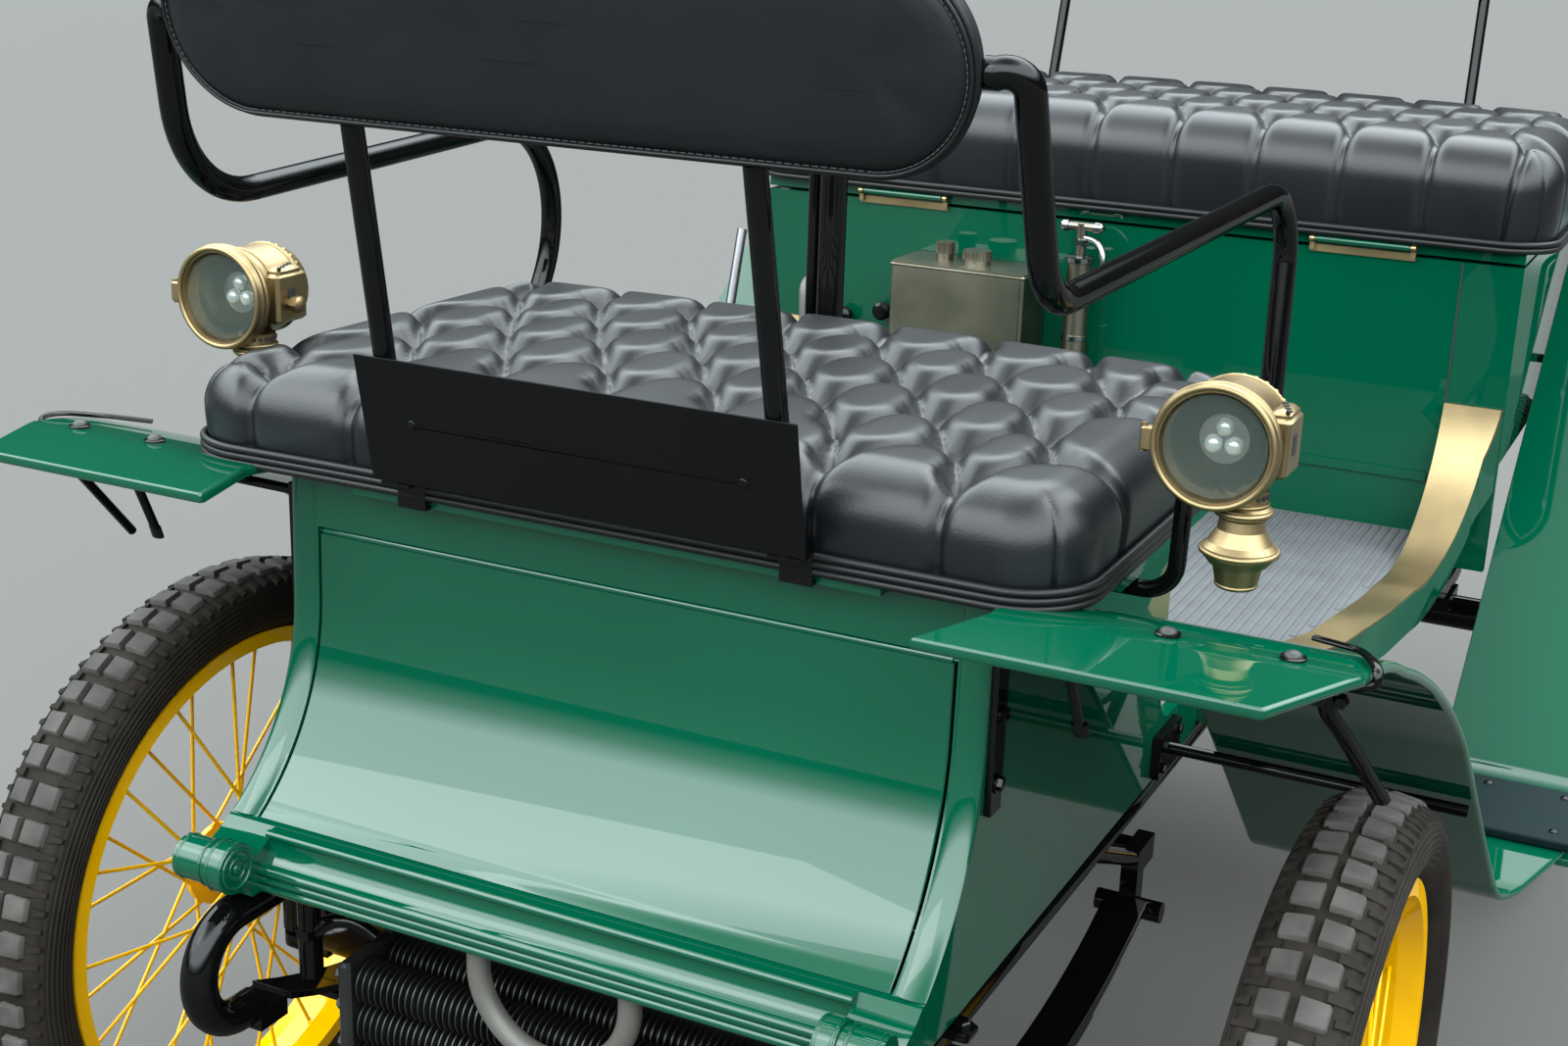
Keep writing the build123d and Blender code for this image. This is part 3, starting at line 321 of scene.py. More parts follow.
def tufted(name, node, mid, half, y0, y1, z0, top, corner, roll, rows, depth, wall_depth, res, dome, pull, seed):
    """Deep-buttoned cushion about x = mid. rows: (station, [button x ...]) from front to rear."""
    cy, hy = (y0 + y1) / 2, (y1 - y0) / 2
    ix, iy = half - corner, hy - corner
    flat = corner - roll
    wall = top - roll - z0
    Q = flat + roll * math.pi / 2 + wall
    nx, ny = int(2 * (ix + Q) / res), int(2 * (iy + Q) / res)
    X, Y = np.meshgrid(np.linspace(-ix - Q, ix + Q, nx), np.linspace(-iy - Q, iy + Q, ny), indexing="ij")
    ex, ey = np.maximum(np.abs(X) - ix, 0), np.maximum(np.abs(Y) - iy, 0)
    q = np.maximum(ex, ey)
    n = np.maximum(np.hypot(ex, ey), 1e-9)
    ux, uy = np.sign(X) * ex / n, np.sign(Y) * ey / n
    a = np.clip((q - flat) / roll, 0, math.pi / 2)
    w = np.clip(q - flat - roll * math.pi / 2, 0, None)
    plan = np.minimum(q, flat) + roll * np.sin(a) - pull * (w / wall) ** 2
    z = top - roll * (1 - np.cos(a)) - w
    px = np.clip(X, -ix, ix) + ux * plan
    py = np.clip(Y, -iy, iy) + uy * plan
    z = z0 + (z - z0) * (1 - dome * (0.5 * (px / half) ** 2 + 0.5 * (py / hy) ** 2))
    # fold lines: diagonals between rows, pleats out to the edges, corner seams
    folds = []
    pts = [[(x - mid, s - cy) for x in xs] for s, xs in rows]
    for one, two in zip(pts, pts[1:]):
        for p in one:
            for r in two:
                if abs(p[0] - r[0]) < 75:
                    folds.append((p, r, 0.93, 0.70))
    far = iy + Q + 5
    for p in pts[0]:
        folds.append((p, (p[0] * 1.0, -far), 0.93, 0.80))
    for p in pts[-1]:
        folds.append((p, (p[0], far), 0.93, 0.80))
    for k, row in enumerate(pts):
        for p, sx in ((row[0], -1), (row[-1], 1)):
            if half - abs(p[0]) < 95:
                folds.append((p, (sx * (ix + Q + 5), p[1]), 0.93, 0.80))
    for sx in (1, -1):
        for sy in (1, -1):
            folds.append(((sx * (ix + corner * 0.55), sy * (iy + corner * 0.55)), (sx * (ix + Q), sy * (iy + Q)), 0.35, 0.75))
    G = np.ones_like(X)
    sig = 13.5
    for p, r, at_end, at_mid in folds:
        d, t = seg_dist(X, Y, p, r)
        both = any(abs(r[0] - s[0]) < 1e-6 and abs(r[1] - s[1]) < 1e-6 for row in pts for s in row)
        m = np.abs(2 * t - 1) ** 1.5 if both else (1 - t) ** 1.5
        amp = at_mid + (at_end - at_mid) * m
        G *= 1 - amp * np.exp(-((d / sig) ** 1.05))
    near = np.full_like(X, 1e9)
    wrinkle = np.zeros_like(X)
    rng = random.Random(seed)
    for row in pts:
        for bx, by in row:
            d = np.hypot(X - bx, Y - by)
            th = np.arctan2(Y - by, X - bx)
            near = np.minimum(near, d)
            ph, k = rng.uniform(0, 6.28), rng.choice((9, 11, 13))
            wrinkle += np.exp(-(((d - 15) / 9) ** 2)) * np.sin(k * th + ph + 0.05 * d)
    G = np.clip(G / 0.56, 0, None)
    G = np.where(G > 0.8, 0.8 + 0.25 * np.tanh((G - 0.8) / 0.25), G)
    side = np.clip((q - flat) / (roll * math.pi / 2), 0, 1)
    side = side * side * (3 - 2 * side)
    D = depth * (1 - side) + wall_depth * side
    fade = np.clip((ix + Q - np.abs(X)) / 12, 0, 1) * np.clip((iy + Q - np.abs(Y)) / 12, 0, 1)
    D = D * (0.25 + 0.75 * fade)
    P = np.stack([px, py, z], -1)
    gx, gy = np.gradient(P, axis=0), np.gradient(P, axis=1)
    nrm = np.cross(gx, gy)
    nrm /= np.maximum(np.linalg.norm(nrm, axis=-1, keepdims=True), 1e-9)
    pits = depth * 0.25 * np.exp(-((near / 9.0) ** 2)) * (1 - side)
    off = D * (G - 1.0) - pits + 0.55 * wrinkle * (1 - 0.5 * side)
    P = P + nrm * off[..., None]
    P[..., 2] = np.maximum(P[..., 2], z0)
    P[..., 0] += mid
    P[..., 1] += FA * 1000 + cy
    if node == "front_cushion":
        f = spread(P[..., 0], P[..., 1])
        P[..., 0] -= 20.0 * f
        P[..., 1] -= 5.0 * f
    o = grid_object(P, name, LEATHER, N_BODY[node], (node,))
    s = Soup()
    for row in pts:
        for bx, by in row:
            j = int(np.argmin(np.hypot(X - bx, Y - by)))
            p = P.reshape(-1, 3)[j]
            s.dome((p[0], p[1], p[2] + 0.5), (0, 0, 1), 7.5, 3.5, 20, 2)
    s.make(name + "_buttons", LEATHER, N_BODY[node], "leather")
    return o


def piping(name, body, mid, half, y0, y1, corner, heights, r, out):
    s = Soup()
    for z in heights:
        pts = []
        hx, hy, c = half + out, (y1 - y0) / 2 + out, corner + out
        for sx, sy, a0 in ((1, 1, 0), (-1, 1, 90), (-1, -1, 180), (1, -1, 270)):
            for a in np.linspace(0, 90, 13):
                t = math.radians(a0 + a)
                pts.append((mid + sx * (hx - c) + c * math.cos(t), FA * 1000 + (y0 + y1) / 2 + sy * (hy - c) + c * math.sin(t), z))
        dense = []
        for p, q in zip(pts, pts[1:] + pts[:1]):
            p, q = np.array(p), np.array(q)
            m = max(1, int(np.linalg.norm(q - p) / 40))
            dense += [p + (q - p) * k / m for k in range(m)]
        if body == "root":
            dense = [p + np.array((-20.0, -5.0, 0.0)) * float(spread(p[0], p[1])) for p in dense]
        s.tube(dense, r, 10, closed=True)
    return s.make(name, PIPING, body, "leather", 180)


N_BODY = {"front_cushion": "root", "rear_cushion": "rear_seat_lid", "front_backrest": "root", "rear_backrest": "root"}
FRONT_ROWS = [
    (-169, [-340, -246, -141, -34, 72, 182, 289]),
    (-94, [-368, -268, -168, -62, 44, 152, 250, 338]),
    (-18, [-314, -218, -112, -10, 94, 199, 299]),
    (66, [-368, -270, -170, -64, 36, 144, 246, 338]),
    (144, [-312, -218, -114, -14, 90, 192, 308]),
    (224, [-362, -266, -166, -62, 40, 146, 248, 336]),
]
REAR_ROWS = [(1163, [-474 + 108 * k for k in range(10)]),
             (1243, [-528 + 108 * k for k in range(1, 10)]),
             (1323, [-474 + 108 * k for k in range(10)]),
             (1403, [-528 + 108 * k for k in range(1, 10)]),
             (1483, [-474 + 108 * k for k in range(10)])]
tufted("front_cushion_leather", "front_cushion", -8, 404, -214, 295, 890.6, 978, 62, 46, FRONT_ROWS, 22, 11, 3.4, 0.10, 4, 3)
tufted("rear_cushion_leather", "rear_cushion", 0, 546, 1090, 1573, 969.4, 1110, 64, 60, REAR_ROWS, 21, 10, 4.2, 0.10, 6, 5)
piping("front_cushion_piping", "root", -8, 405, -215, 296, 62, (887.6, 893.9, 900.2), 3.3, 1.0)
piping("rear_cushion_piping", "rear_seat_lid", 0, 547, 1089, 1574, 64, (973.5, 981.0), 4.0, 1.5)


# ------------------------------------------------------------ backrest pads
def stadium(half, rad, n=28, m=14):
    """Outline of a slot, and its outward directions."""
    pts = []
    L = half - rad
    for k in range(m):
        pts.append(((-L + 2 * L * k / m, -rad), (0, -1)))
    for k in range(n):
        a = -math.pi / 2 + math.pi * k / n
        pts.append(((L + rad * math.cos(a), rad * math.sin(a)), (math.cos(a), math.sin(a))))
    for k in range(m):
        pts.append(((L - 2 * L * k / m, rad), (0, 1)))
    for k in range(n):
        a = math.pi / 2 + math.pi * k / n
        pts.append(((-L + rad * math.cos(a), rad * math.sin(a)), (math.cos(a), math.sin(a))))
    return pts


def pad(name, node, mid, station, z, half, height, thick, lean, body, seat_side):
    lean = math.radians(lean)
    ex = np.array((1.0, 0, 0))
    ey = np.array((0, -math.sin(lean), math.cos(lean)))
    ez = np.cross(ex, ey) * -1
    if ez[1] < 0:
        ez = -ez
    if seat_side < 0:
        ez = -ez                       # ez points to the side people lean on
    o = np.array((mid, FA * 1000 + station, z))
    out = stadium(half, height / 2, 40, 60)
    rings = []
    t = thick / 2
    # across the thickness: inset from the outline, offset along ez
    prof = [(60, -t + 0.0), (44, -t + 0.0), (26, -t + 0.3), (12, -t + 1.6), (5, -t + 5.0), (1.2, -t + 10), (0.2, -4), (0, 0), (0.3, 4),
            (1.6, t - 8), (5.5, t - 3.0), (13, t + 0.8), (28, t + 3.6), (46, t + 5.2), (62, t + 6.0)]
    for inset, w in prof:
        r = height / 2 - inset
        ring = []
        for (x, y), (dx, dy) in out:
            wob = 0.5 * math.sin(x * 0.031 + w * 0.2) + 0.4 * math.sin(x * 0.073 + y * 0.05)
            ring.append(o + ex * (x - dx * inset) + ey * (y - dy * inset) + ez * (w + wob * (1 if abs(w) > t - 4 else 0.3)))
        rings.append(ring)
    s = Soup()
    s.rings(rings)
    p = s.make(name, PADLEATHER, body, "leather", 180, (node,))
    w = Soup()
    for inset, depth_, r in ((0.4, -t + 9.5, 3.2), (1.6, -t + 4.2, 1.6)):
        w.tube([o + ex * (x - dx * inset) + ey * (y - dy * inset) + ez * depth_ for (x, y), (dx, dy) in out], r, 8, closed=True)
    w.make(name + "_welt", PIPING, body, "leather", 180)
    # stitches beside the welt
    st = Soup()
    line = [(x, y, dx, dy) for (x, y), (dx, dy) in stadium(half, height / 2, 46, 76)]
    for k in range(len(line)):
        x, y, dx, dy = line[k]
        c = o + ex * (x - dx * 4.4) + ey * (y - dy * 4.4) + ez * (-t + 4.0)
        tang = -dy * ex + dx * ey
        st.tube([c - tang * 2.6, c, c + tang * 2.6], 0.55, 6)
    st.make(name + "_stitches", THREAD, body, "leather", 180)
    return p


pad("front_backrest_leather", "front_backrest", 7, -307.5, 1279, 333, 150, 34, 11.7, "root", 1)
pad("rear_backrest_leather", "rear_backrest", 0, 1768, 1330, 420, 170, 50, -15, "root", -1)


# ------------------------------------------------------------ tyres
def tyre(name, node, body, side, station, seed):
    c = np.array((side * 581.5, FA * 1000 + station, 343.0))
    prof = [(-30.6, 262.4), (-30.6, 275.8), (-35.5, 278.4)]
    sidewall = [(-40.5, 284), (-43.8, 290), (-46, 296), (-47.4, 302), (-47.7, 307), (-47, 312), (-45.6, 317), (-43.5, 321.5)]
    for k, (x, r) in enumerate(sidewall):
        prof.append((x, r))
        x2, r2 = sidewall[k + 1] if k + 1 < len(sidewall) else (-40, 326.5)
        prof.append(((x * 0.35 + x2 * 0.65) - 0.9, r * 0.35 + r2 * 0.65))
        prof.append(((x * 0.15 + x2 * 0.85) + 0.3, r * 0.15 + r2 * 0.85))
    prof += [(-40, 326.5), (-34, 331.5), (-24, 334.3), (-12, 335.6), (0, 336)]
    prof = prof + [(-x, r) for x, r in reversed(prof[:-1])]
    prof.append(prof[0])
    carcass = Soup()
    carcass.revolve(prof, c, (1, 0, 0), 120)
    s = Soup()
    rng = random.Random(seed)
    n = 60
    for k in range(n):
        a = 2 * math.pi * (k + rng.uniform(-0.02, 0.02)) / n
        rad = np.array((0, math.cos(a), math.sin(a)))
        tan = np.array((0, -math.sin(a), math.cos(a)))
        for sx in (1, -1):
            # tread block: its top follows the crown and its flanks slope
            lev = []
            for drop, grow in ((12.0, 1.2), (1.0, 0.2), (0.0, -0.8)):
                x_in, x_out, hl = 4.0 - grow * 0.5, 26.5 + grow, 11.0 + grow
                pts = [(x_in, -hl), (x_out - 1.5, -hl + 0.5), (x_out, -hl + 2), (x_out, hl - 2), (x_out - 1.5, hl - 0.5), (x_in, hl)]
                lev.append([c + np.array((sx, 0, 0)) * x + rad * (342.7 - drop - 4.6 * (x / 30) ** 2) + tan * l for x, l in pts])
            s.rings(lev)
            # shoulder lugs between and beside the blocks
            for off, w, x0, x1 in ((0.0, 4.0, 31.5, 42.5), (18.0, 4.2, 22.0, 41.0)):
                b = a + off / 338
                ra = np.array((0, math.cos(b), math.sin(b)))
                ta = np.array((0, -math.sin(b), math.cos(b)))
                lev = []
                for lift, g in ((-6, 1.2), (0, 0)):
                    base = [(x0, 333.2 if x0 > 30 else 336.4), (x1, 327.5)]
                    q = []
                    for (x, r), sgn in ((base[0], -1), (base[1], -0.5), (base[1], 0.5), (base[0], 1)):
                        q.append(c + np.array((sx, 0, 0)) * x + ra * (r + lift + 1.6) + ta * sgn * (w + g))
                    lev.append(q)
                carcass.rings(lev)
    carcass.make(name, RUBBER, body, "tyre", 40, (node,))
    return s.make(name.replace("tyre", "blocks"), TREAD, body, "tyre", 40)


for nm, side, st in (("front_left", 1, 0), ("front_right", -1, 0), ("rear_left", 1, 1570), ("rear_right", -1, 1570)):
    tyre("tread_tyre_" + nm, "tyre_" + nm, "wheel_" + nm, side, st, 11)


# ------------------------------------------------------------ radiator of gilled tubes
gills = Soup()
for station in (-252, -204):
    for z in (440, 401, 362):
        o = (0, FA * 1000 + station, z)
        prof, x = [(-222, 0.01), (-222, 13)], -219.0
        while x < 217:
            prof += [(x, 13), (x + 0.6, 20.8), (x + 1.8, 20.8), (x + 2.4, 13)]
            x += 6.6
        prof += [(222, 13), (222, 0.01)]
        gills.revolve(prof, o, (1, 0, 0), 28)
for side in (1, -1):
    a, b = sorted((side * 216, side * 230))
    gills.box((a, FA * 1000 - 276, 338), (b, FA * 1000 - 180, 464), bevel=3)
    a, b = sorted((side * 219, side * 227))
    gills.box((a, FA * 1000 - 210, 440), (b, FA * 1000 - 140, 499), bevel=1)
    for z in (352, 382, 420, 450):
        for st in (-268, -188):
            gills.hexnut((side * 230, FA * 1000 + st, z), (side, 0, 0), 6, 4)
gills.make("gilled_tubes", RADIATOR, "root", "black_enamel", 30, ("radiator",))


# ------------------------------------------------------------ lamps
def lamp(side):
    c = np.array((side * 464.0, FA * 1000 - 119.0, 1004.0))
    back = np.array((0, 1.0, 0))
    tag = "left" if side > 0 else "right"
    s = Soup()
    # bezel of three rings
    for h, r, t in ((-0.5, 45.2, 2.6), (5.5, 46.6, 2.3), (12.5, 45.4, 2.4)):
        loop = [(h + t * math.sin(a), r + t * math.cos(a)) for a in np.linspace(0, 2 * math.pi, 13)]
        loop[-1] = loop[0]
        s.revolve(loop, c, back, 64)
    # hinge tab and clasp of the bezel
    s.box((-55, -2, -9), (-45, 10, 9), ((c[0], c[1], c[2]), (1, 0, 0), (0, 1, 0), (0, 0, 1)), 1.2)
    s.revolve([(-11, 2.6), (11, 2.6)], c + np.array((-54, 4, 0)), (0, 0, 1), 14)
    # burner box on the outer side with its knob
    s.box((32, 24, -24), (49, 66, 22), ((c[0], c[1], c[2]), (1, 0, 0), (0, 1, 0), (0, 0, 1)), 3)
    s.box((32, 28, 18), (47, 62, 27), ((c[0], c[1], c[2]), (1, 0, 0), (0, 1, 0), (0, 0, 1)), 3)
    if side < 0:
        s.revolve([(0, 5), (5, 5), (6, 8), (13, 8.5), (15, 6), (16, 0.01)], c + np.array((48, 40, -6)), (1, 0, 0), 6)
    # chimney ring and seams of the drum
    for h, r, t in ((30, 41.2, 1.1), (66, 41.2, 1.3)):
        loop = [(h + t * math.sin(a), r + t * math.cos(a)) for a in np.linspace(0, 2 * math.pi, 9)]
        loop[-1] = loop[0]
        s.revolve(loop, c, back, 56)
    # rivets round the drum
    for k in range(10):
        a = math.radians(25 + 13 * k)
        d = np.array((math.cos(a), 0, math.sin(a)))
        s.dome(c + back * 72 + d * 40.3, d, 2.0, 1.2, 10)
    # beads of the foot
    f = np.array((side * 464.0 + 20, FA * 1000 - 92.0, 893.0))
    for h, r, t in ((2.5, 15.0, 1.4), (20, 21, 1.6), (29, 28.2, 2.4), (60, 20.6, 2.2), (66.5, 17.8, 1.2)):
        loop = [(h + t * math.sin(a), r + t * math.cos(a)) for a in np.linspace(0, 2 * math.pi, 11)]
        loop[-1] = loop[0]
        s.revolve(loop, f, (0, 0, 1), 48)
    s.make("lamp_trim_" + tag, BRASS, "root", "brass", 40)
    # painted shade: a dark pane and dark discs stand for the shade inside the burner box's window and vents
    d = Soup()
    d.box((48.6, 38, -8), (49.6, 48, 8), ((c[0], c[1], c[2]), (1, 0, 0), (0, 1, 0), (0, 0, 1)), 0.3)
    for k in range(4):
        d.revolve([(-0.5, 0.01), (-0.5, 2.4), (0.9, 2.4), (0.9, 0.01)], c + np.array((45 - 3 * k, 32 + 8 * k, 27)), (0, 0, 1), 12)
    for k in range(7):
        a = math.radians(-60 + 20 * k)
        d.revolve([(-0.5, 0.01), (-0.5, 2.0), (0.8, 2.0), (0.8, 0.01)], f + np.array((math.cos(a) * 17.2, -math.sin(a) * 17.2, 73)), (math.cos(a), -math.sin(a), 0), 10)
    d.make("lamp_vent_shade_" + tag, SHADE_AND_SEAM_DARK, "root", "brass", 40)
    # reflector bowl and the three bulbs in it
    r = Soup()
    prof = [(11, 38.4), (14, 37.0), (22, 34.5), (34, 29.5), (44, 23.0), (50, 17.0), (52, 0.01)]
    inner = [(h + 1.2, q) for h, q in prof]
    outer = [(h + 2.0, q + 0.4) for h, q in reversed(prof[:-1])]
    r.revolve(inner + [(54.2, 0.01)] + outer + [inner[0]], c, back, 56)
    r.make("lamp_reflector_" + tag, REFLECTOR, "root", "brass", 60)
    b = Soup()
    b.revolve([(30, 0.01), (30, 19), (50, 19.5), (50, 0.01)], c, back, 40)
    b.make("lamp_bulb_holder_" + tag, CHROME, "root", "nickel", 40)
    e = Soup()
    for k in range(3):
        a = math.radians(90 + 120 * k)
        p = c + np.array((9 * math.cos(a), 0, 9 * math.sin(a)))
        e.revolve([(30.5, 0.01), (30.5, 7.2), (28.0, 7.0), (25.5, 5.2), (24.4, 2.6), (24.0, 0.01)], p, back, 20)
    e.make("lamp_bulbs_" + tag, BULB, "root", "glass", 60)


lamp(1)
lamp(-1)


# ------------------------------------------------------------ fittings
F0 = FA * 1000
black, caps = Soup(), Soup()
for side in (1, -1):
    # dome bolts through the fender boards, with their washers
    for x, st in ((467, -208), (556, -208)):
        p = (side * x, F0 + st, 889.2)
        black.revolve([(0, 0.01), (0, 9.4), (1.0, 9.4), (1.4, 8.2), (1.4, 0.01)], p, (0, 0, 1), 28)
        caps.dome((p[0], p[1], p[2] + 1.2), (0, 0, 1), 6.8, 4.2, 24, 0.5)
    # strap hooked over the fender's outer edge and the iron that hangs below it
    path = smooth_path([(side * 552, F0 - 120, 874.5), (side * 583, F0 - 138, 878.5), (side * 593, F0 - 150, 881),
                        (side * 604, F0 - 180, 888), (side * 612, F0 - 197, 887), (side * 611, F0 - 201, 878),
                        (side * 599, F0 - 203, 875)], 7)
    black.tube(path, 3.4, 12, flat=(3.6, 2.2))
    if side > 0:
        black.tube(smooth_path([(581, F0 - 207, 868), (583, F0 - 200, 851), (593, F0 - 170, 820),
                                (610, F0 - 96, 749)], 6), 4, 10, flat=(7, 4.8))
        black.hexnut((576, F0 - 210, 866), (0, -1, 0), 7, 6)
        black.hexnut((592, F0 - 204, 864), (0, -1, 0), 5, 9)
    # foot of the strap under the board
    black.tube([(side * 423.6, F0 - 260, 830), (side * 424.4, F0 - 256, 820)], 6, 16, flat=(6.5, 3.4))
    # screws of the plate
    black.dome((side * 150, F0 - 255.3, 960.6), (0, -math.cos(math.radians(11.3)), -math.sin(math.radians(11.3))), 4.2, 1.2, 20, 2)
    # strap on the body side with its bolts
    for z in (730, 787):
        black.hexnut((side * 336.2, F0 - 175, z), (side, 0, 0), 6, 5)
        black.revolve([(0, 0.01), (0, 8.5), (1.4, 8.5), (1.4, 0.01)], (side * 336.0, F0 - 175, z), (side, 0, 0), 20)
    # plate of the lower stay
    for st, z in ((295, 560), (295, 584), (345, 560), (345, 584)):
        black.hexnut((side * 339.0, F0 + st, z), (side, 0, 0), 5.5, 4)
    # bolts along the sill and at the frame's front
    for st in (520, 640, 760, 880):
        black.dome((side * 402 if st < 700 else side * 436, F0 + st, 575), (side, 0, 0), 6, 4)
    black.hexnut((side * 330, F0 - 205, 531), (0, 0, 1), 8, 6)
    black.revolve([(0, 0.01), (0, 12), (2, 12), (2, 0.01)], (side * 330, F0 - 205, 529.5), (0, 0, 1), 28)
    black.box((min(side * 316, side * 341), F0 - 217, 523), (max(side * 316, side * 341), F0 - 193, 530), bevel=1.5)
    for st in (-18, 18):
        for x in (283, 327):
            black.hexnut((side * x, F0 + st, 346), (0, 0, 1), 6, 8)
    # bolts of the steps and of the rear fenders
    for x, st in ((590, 725), (676, 725), (590, 825), (676, 825)):
        black.dome((side * x, F0 + st, 392.1), (0, 0, 1), 5.5, 2.6, 20, 0.5)
    for x, st in ((640, 1790), (570, 1690), (610, 1690)):
        black.dome((side * x, F0 + st, 942.3), (0, 0, 1), 6.5, 3.6)
black.make("bolts_and_hooks", BLACK, "root", "black_enamel", 35)
caps.make("bolt_caps", IRON, "root", "steel", 40)
drain = Soup()
drain.tube([(-282, F0 - 246, 505), (-282, F0 - 246, 424)], 11, 20)
drain.revolve([(0, 13.5), (9, 13.5), (11, 10)], (-282, F0 - 246, 472), (0, 0, -1), 6)
drain.tube(smooth_path([(-282, F0 - 246, 462), (-262, F0 - 244, 480), (-240, F0 - 238, 484), (-222, F0 - 230, 470)], 7), 7, 14)
drain.make("radiator_drain", BLACK, "root", "black_enamel", 40)

# ------------------------------------------------------------ skin of the locker door
def front_curve(z):
    """Station of the concave front at height z: through (-190, 768), (-206, 690), (-286, 590)."""
    (ax, ay), (bx, by), (cx_, cy_) = (-190.0, 768.0), (-206.0, 690.0), (-286.0, 590.0)
    if z >= ay:
        return -187.0 - 3.0 * (876.0 - z) / 108.0
    dd = 2 * (ax * (by - cy_) + bx * (cy_ - ay) + cx_ * (ay - by))
    ux = ((ax**2 + ay**2) * (by - cy_) + (bx**2 + by**2) * (cy_ - ay) + (cx_**2 + cy_**2) * (ay - by)) / dd
    uy = ((ax**2 + ay**2) * (cx_ - bx) + (bx**2 + by**2) * (ax - cx_) + (cx_**2 + cy_**2) * (bx - ax)) / dd
    r = math.hypot(ax - ux, ay - uy)
    return ux + math.sqrt(max(0.0, r * r - (z - uy) ** 2)) * (1 if bx > ux else -1)


scroll = Soup()
for side in (1, -1):
    o = (side * 274.0, F0 - 346, 575)
    for h, r, t in ((0.0, 17.2, 1.8), (0.0, 9.5, 1.6)):
        loop = [(h + t * math.sin(a), r + t * math.cos(a)) for a in np.linspace(0, 2 * math.pi, 11)]
        loop[-1] = loop[0]
        scroll.revolve(loop, o, (side, 0, 0), 40)
    scroll.dome(o, (-side, 0, 0), 5.0, 2.6, 20, 0.5)
    for h, r, t in ((2.0, 21.0, 1.7), (15.5, 21.2, 1.7), (25.0, 19.2, 1.6), (49.0, 18.2, 2.0)):
        loop = [(h + t * math.sin(a), r + t * math.cos(a)) for a in np.linspace(0, 2 * math.pi, 11)]
        loop[-1] = loop[0]
        scroll.revolve(loop, o, (side, 0, 0), 48)
    # rounded bead down each edge of the front
    ring = []
    for z in np.linspace(592, 875.5, 60):
        y = F0 + front_curve(z)
        ring.append([(side * x, y - h, z) for x, h in ((330.3, -6), (330.3, 0.6), (329, 1.8), (325, 3.0), (319, 3.4), (312, 2.8),
                                                       (307, 1.4), (304, -0.6), (303.4, -6))])
    scroll.rings(ring)
scroll.make("front_edge_beads", GREEN, "root", "green_paint", 50)
seams = Soup()
for side in (1, -1):
    a_, b_ = sorted((side * 444.0, side * 446.4))
    seams.box((a_, F0 + 1099.4, 682), (b_, F0 + 1100.4, 951))
seams.make("box_seams", SHADE_AND_SEAM_DARK, "root", "green_paint", 40)

skin = Soup()
levels = list(np.linspace(591.6, 825.4, 44))
bands = []
for z in levels:
    y = F0 + front_curve(z)
    bands.append([(-300.0, y + 2.4, z), (-300.0, y + 0.3, z), (-299.2, y - 0.6, z),
                  (299.2, y - 0.6, z), (300.0, y + 0.3, z), (300.0, y + 2.4, z)])
skin.rings(bands)
skin.make("front_door_skin", GREEN, "front_door", "green_paint", 35)

# knobs and a grey pipe on the rear box's front
knobs = Soup()
for x, z, r in ((-388, 785, 13.5), (-328, 799, 12.5)):
    knobs.revolve([(0, 0.01), (0, r * 0.5), (10, r * 0.5), (12, r), (22, r), (26, r * 0.7), (27, 0.01)], (x, F0 + 1099.7, z), (0, -1, 0), 32)
knobs.make("box_knobs", BLACK, "root", "black_enamel", 40)
grey = Soup()
grey.tube(smooth_path([(-437, F0 + 1098, 836), (-437, F0 + 1062, 828), (-434, F0 + 1052, 800), (-430, F0 + 1050, 730), (-428, F0 + 1050, 602)], 8), 8, 14)
grey.make("grey_pipes", PIPE, "root", "iron", 40)

# tank seams, its caps' rims and the pump's tap
nick = Soup()
for z in (694, 884):
    nick.box((-285.2, F0 + 1002.8, z - 2.5), (-90.8, F0 + 1096.6, z + 2.5), bevel=2)
for x, st, r, h in ((-228, 1060, 12, 24), (-178, 1052, 19, 18)):
    for k in range(24):
        a = 2 * math.pi * k / 24
        nick.tube([(x + r * math.cos(a), F0 + st + r * math.sin(a), 888 + h * 0.35), (x + r * math.cos(a), F0 + st + r * math.sin(a), 888 + h - 1)], 1.2, 6)
nick.make("tank_trim", NICKEL, "root", "nickel", 40)
pump = Soup()
for z, r in ((722, 19), (742, 17.5), (800, 18), (852, 18), (905, 19.5)):
    pump.revolve([(0, r - 2), (1, r), (7, r), (8, r - 2)], (-36, F0 + 1060, z), (0, 0, 1), 36)
pump.revolve([(0, 8), (2, 11), (9, 11), (11, 7)], (-36, F0 + 1060, 926), (0, 0, 1), 6)
pump.dome((-60, F0 + 1060, 952), (-1, 0, 0), 8, 7, 20, 6)
pump.dome((-12, F0 + 1060, 952), (1, 0, 0), 8, 7, 20, 6)
pump.tube(smooth_path([(-36, F0 + 1060, 938), (-14, F0 + 1056, 934), (-2, F0 + 1050, 918), (0, F0 + 1048, 894)], 6), 4.5, 12)
pump.make("pump_fittings", CHROME, "root", "nickel", 35)

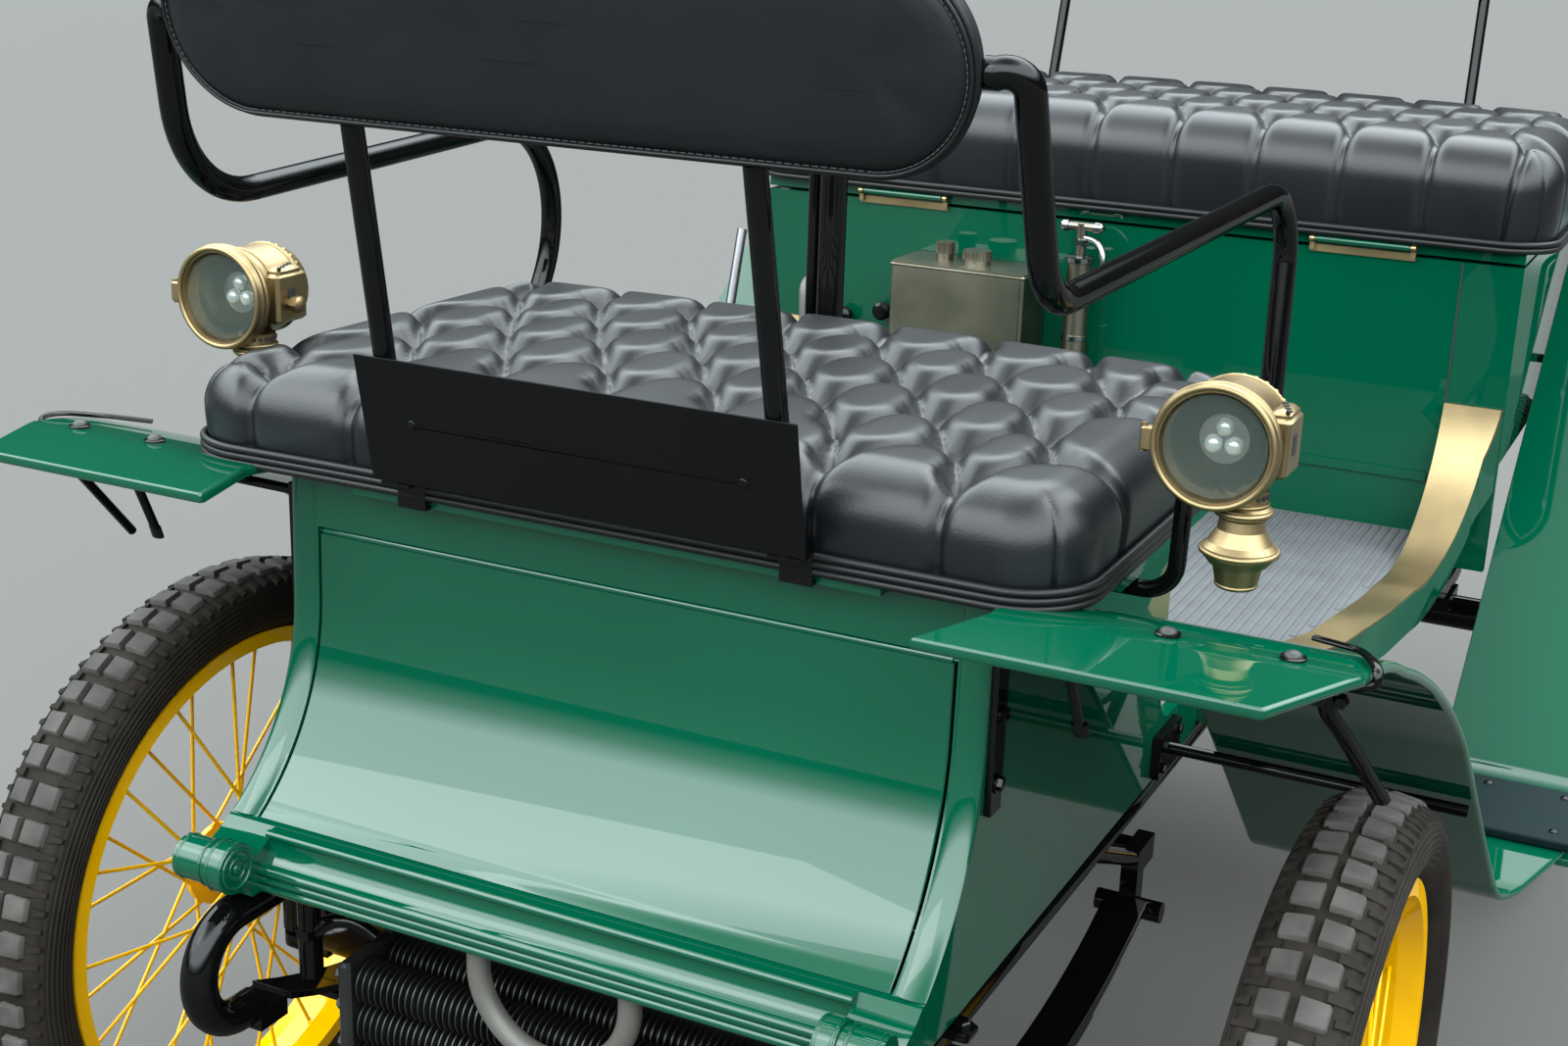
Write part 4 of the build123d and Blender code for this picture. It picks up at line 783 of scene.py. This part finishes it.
# ribs of the floor mat
ribs = Soup()
edge = [(452, 312), (640, 392), (790, 417), (980, 430), (1096, 433)]
for k in range(-35, 36):
    x = k * 12.0
    lo = 452
    if abs(x) > 312:
        for (y1_, x1_), (y2_, x2_) in zip(edge, edge[1:]):
            if x1_ <= abs(x) <= x2_:
                lo = y1_ + (y2_ - y1_) * (abs(x) - x1_) / (x2_ - x1_)
                break
        else:
            continue
    runs = [(lo + 4, 1094)]
    if abs(x + 65) < 40:
        runs = [(lo + 4, 1094)]
    for a, b in runs:
        if b - a > 30:
            ribs.box((x - 3.6, F0 + a, 599.5), (x + 3.6, F0 + b, 601.2), bevel=0.6)
ribs.make("mat_ribs", MATGREY, "root", "mat", 60)

# rounded edges on the sheet and board pieces
for node, width, seg in (("front_fenders", 0.0042, 5), ("rear_fenders", 0.0042, 5), ("steps", 0.003, 3), ("number_plate", 0.0006, 2),
                         ("engine", 0.006, 3), ("front_door", 0.0012, 2), ("body_sills", 0.0015, 2), ("springs", 0.0012, 2)):
    wd = N[node].modifiers.new("weld", "WELD")
    wd.merge_threshold = 0.00002
    m = N[node].modifiers.new("edge", "BEVEL")
    m.width = width
    m.segments = seg
    m.limit_method = "ANGLE"
    m.angle_limit = math.radians(40)
    wn = N[node].modifiers.new("normals", "WEIGHTED_NORMAL")
    wn.weight = 100
    wn.keep_sharp = True
    N[node].data.polygons.foreach_set("use_smooth", [True] * len(N[node].data.polygons))

# ------------------------------------------------------------ floor, light, camera
bpy.ops.mesh.primitive_plane_add(size=200, location=(0, 0, 0))
ground = bpy.context.object
ground.name = "studio_floor"
ground.data.materials.append(mat("studio_floor", (0.072, 0.070, 0.067), 0.9, 0, 0, 0.1, 0.1))
# backdrop of the floor's tone behind everything, seen by the camera alone
bpy.ops.mesh.primitive_cylinder_add(vertices=96, radius=60, depth=60, end_fill_type="NOTHING", location=(0, 0, 29.9))
backdrop = bpy.context.object
backdrop.name = "studio_backdrop"
paper = mat("studio_backdrop", (0.0, 0.0, 0.0), 1.0, 0, 0, 0.1, 0.0)
shade = paper.node_tree.nodes["Principled BSDF"]
shade.inputs["Emission Color"].default_value = (0.456, 0.491, 0.485, 1)
shade.inputs["Emission Strength"].default_value = 1.0
backdrop.data.materials.append(paper)
for kind in ("diffuse", "glossy", "transmission", "volume_scatter", "shadow"):
    setattr(backdrop, "visible_" + kind, False)

world = bpy.data.worlds.new("studio")
scene.world = world
world.use_nodes = True
wt = world.node_tree
bg = wt.nodes["Background"]
tc = wt.nodes.new("ShaderNodeTexCoord")
tilt = wt.nodes.new("ShaderNodeVectorMath")
tilt.operation = "DOT_PRODUCT"
tilt.inputs[1].default_value = (0.0, -0.20, 1.0)
ramp = wt.nodes.new("ShaderNodeValToRGB")
wt.links.new(tc.outputs["Generated"], tilt.inputs[0])
wt.links.new(tilt.outputs["Value"], ramp.inputs["Fac"])
wt.links.new(ramp.outputs["Color"], bg.inputs["Color"])
bg.inputs["Strength"].default_value = 8.5
# dark surroundings low down, more so behind the car; a bright even sky over its front
els = ramp.color_ramp.elements
els[0].position, els[0].color = 0.0, (0.006, 0.0065, 0.0065, 1)
els[1].position, els[1].color = 1.0, (0.14, 0.155, 0.16, 1)
for p, c in ((0.22, (0.008, 0.009, 0.009)), (0.33, (0.22, 0.245, 0.25)), (0.45, (0.82, 0.91, 0.94)), (0.86, (0.90, 0.98, 1.0)), (0.95, (0.36, 0.40, 0.41))):
    e = els.new(p)
    e.color = (*c, 1)
scene.view_settings.view_transform = "Standard"
scene.view_settings.look = "None"


def area(name, place, aim, size, power, color=(1, 1, 1)):
    d = bpy.data.lights.new(name, "AREA")
    d.shape = "RECTANGLE"
    d.size, d.size_y = size
    d.energy = power
    d.color = color
    o = bpy.data.objects.new(name, d)
    scene.collection.objects.link(o)
    o.location = place
    o.rotation_euler = (Vector(aim) - Vector(place)).to_track_quat("-Z", "Y").to_euler()
    return o


area("key", (-3.5, -4.5, 6.0), (0, -0.5, 0.7), (4, 3), 120)
area("top", (1.0, 2.5, 6.0), (0, -0.2, 0.7), (5, 4), 120)

cam_data = bpy.data.cameras.new("camera")
cam = bpy.data.objects.new("camera", cam_data)
scene.collection.objects.link(cam)
scene.camera = cam
cam_data.sensor_width = 36.0
cam_data.sensor_fit = "HORIZONTAL"
cam_data.lens = 2136.9 / 1600 * 36
cam_data.clip_end = 200
az, el, ro = (math.radians(v) for v in (26.088, 17.668, 1.894))
d = Vector((-math.sin(az) * math.cos(el), math.cos(az) * math.cos(el), -math.sin(el)))
right = Vector((math.cos(az), math.sin(az), 0))
up = right.cross(d)
r2 = math.cos(ro) * right + math.sin(ro) * up
u2 = -math.sin(ro) * right + math.cos(ro) * up
m = Matrix.Identity(4)
for i, v in enumerate((r2, u2, -d)):
    for j in range(3):
        m[j][i] = v[j]
m.translation = Vector((0.8323, -2.3612, 1.4049))
cam.matrix_world = m
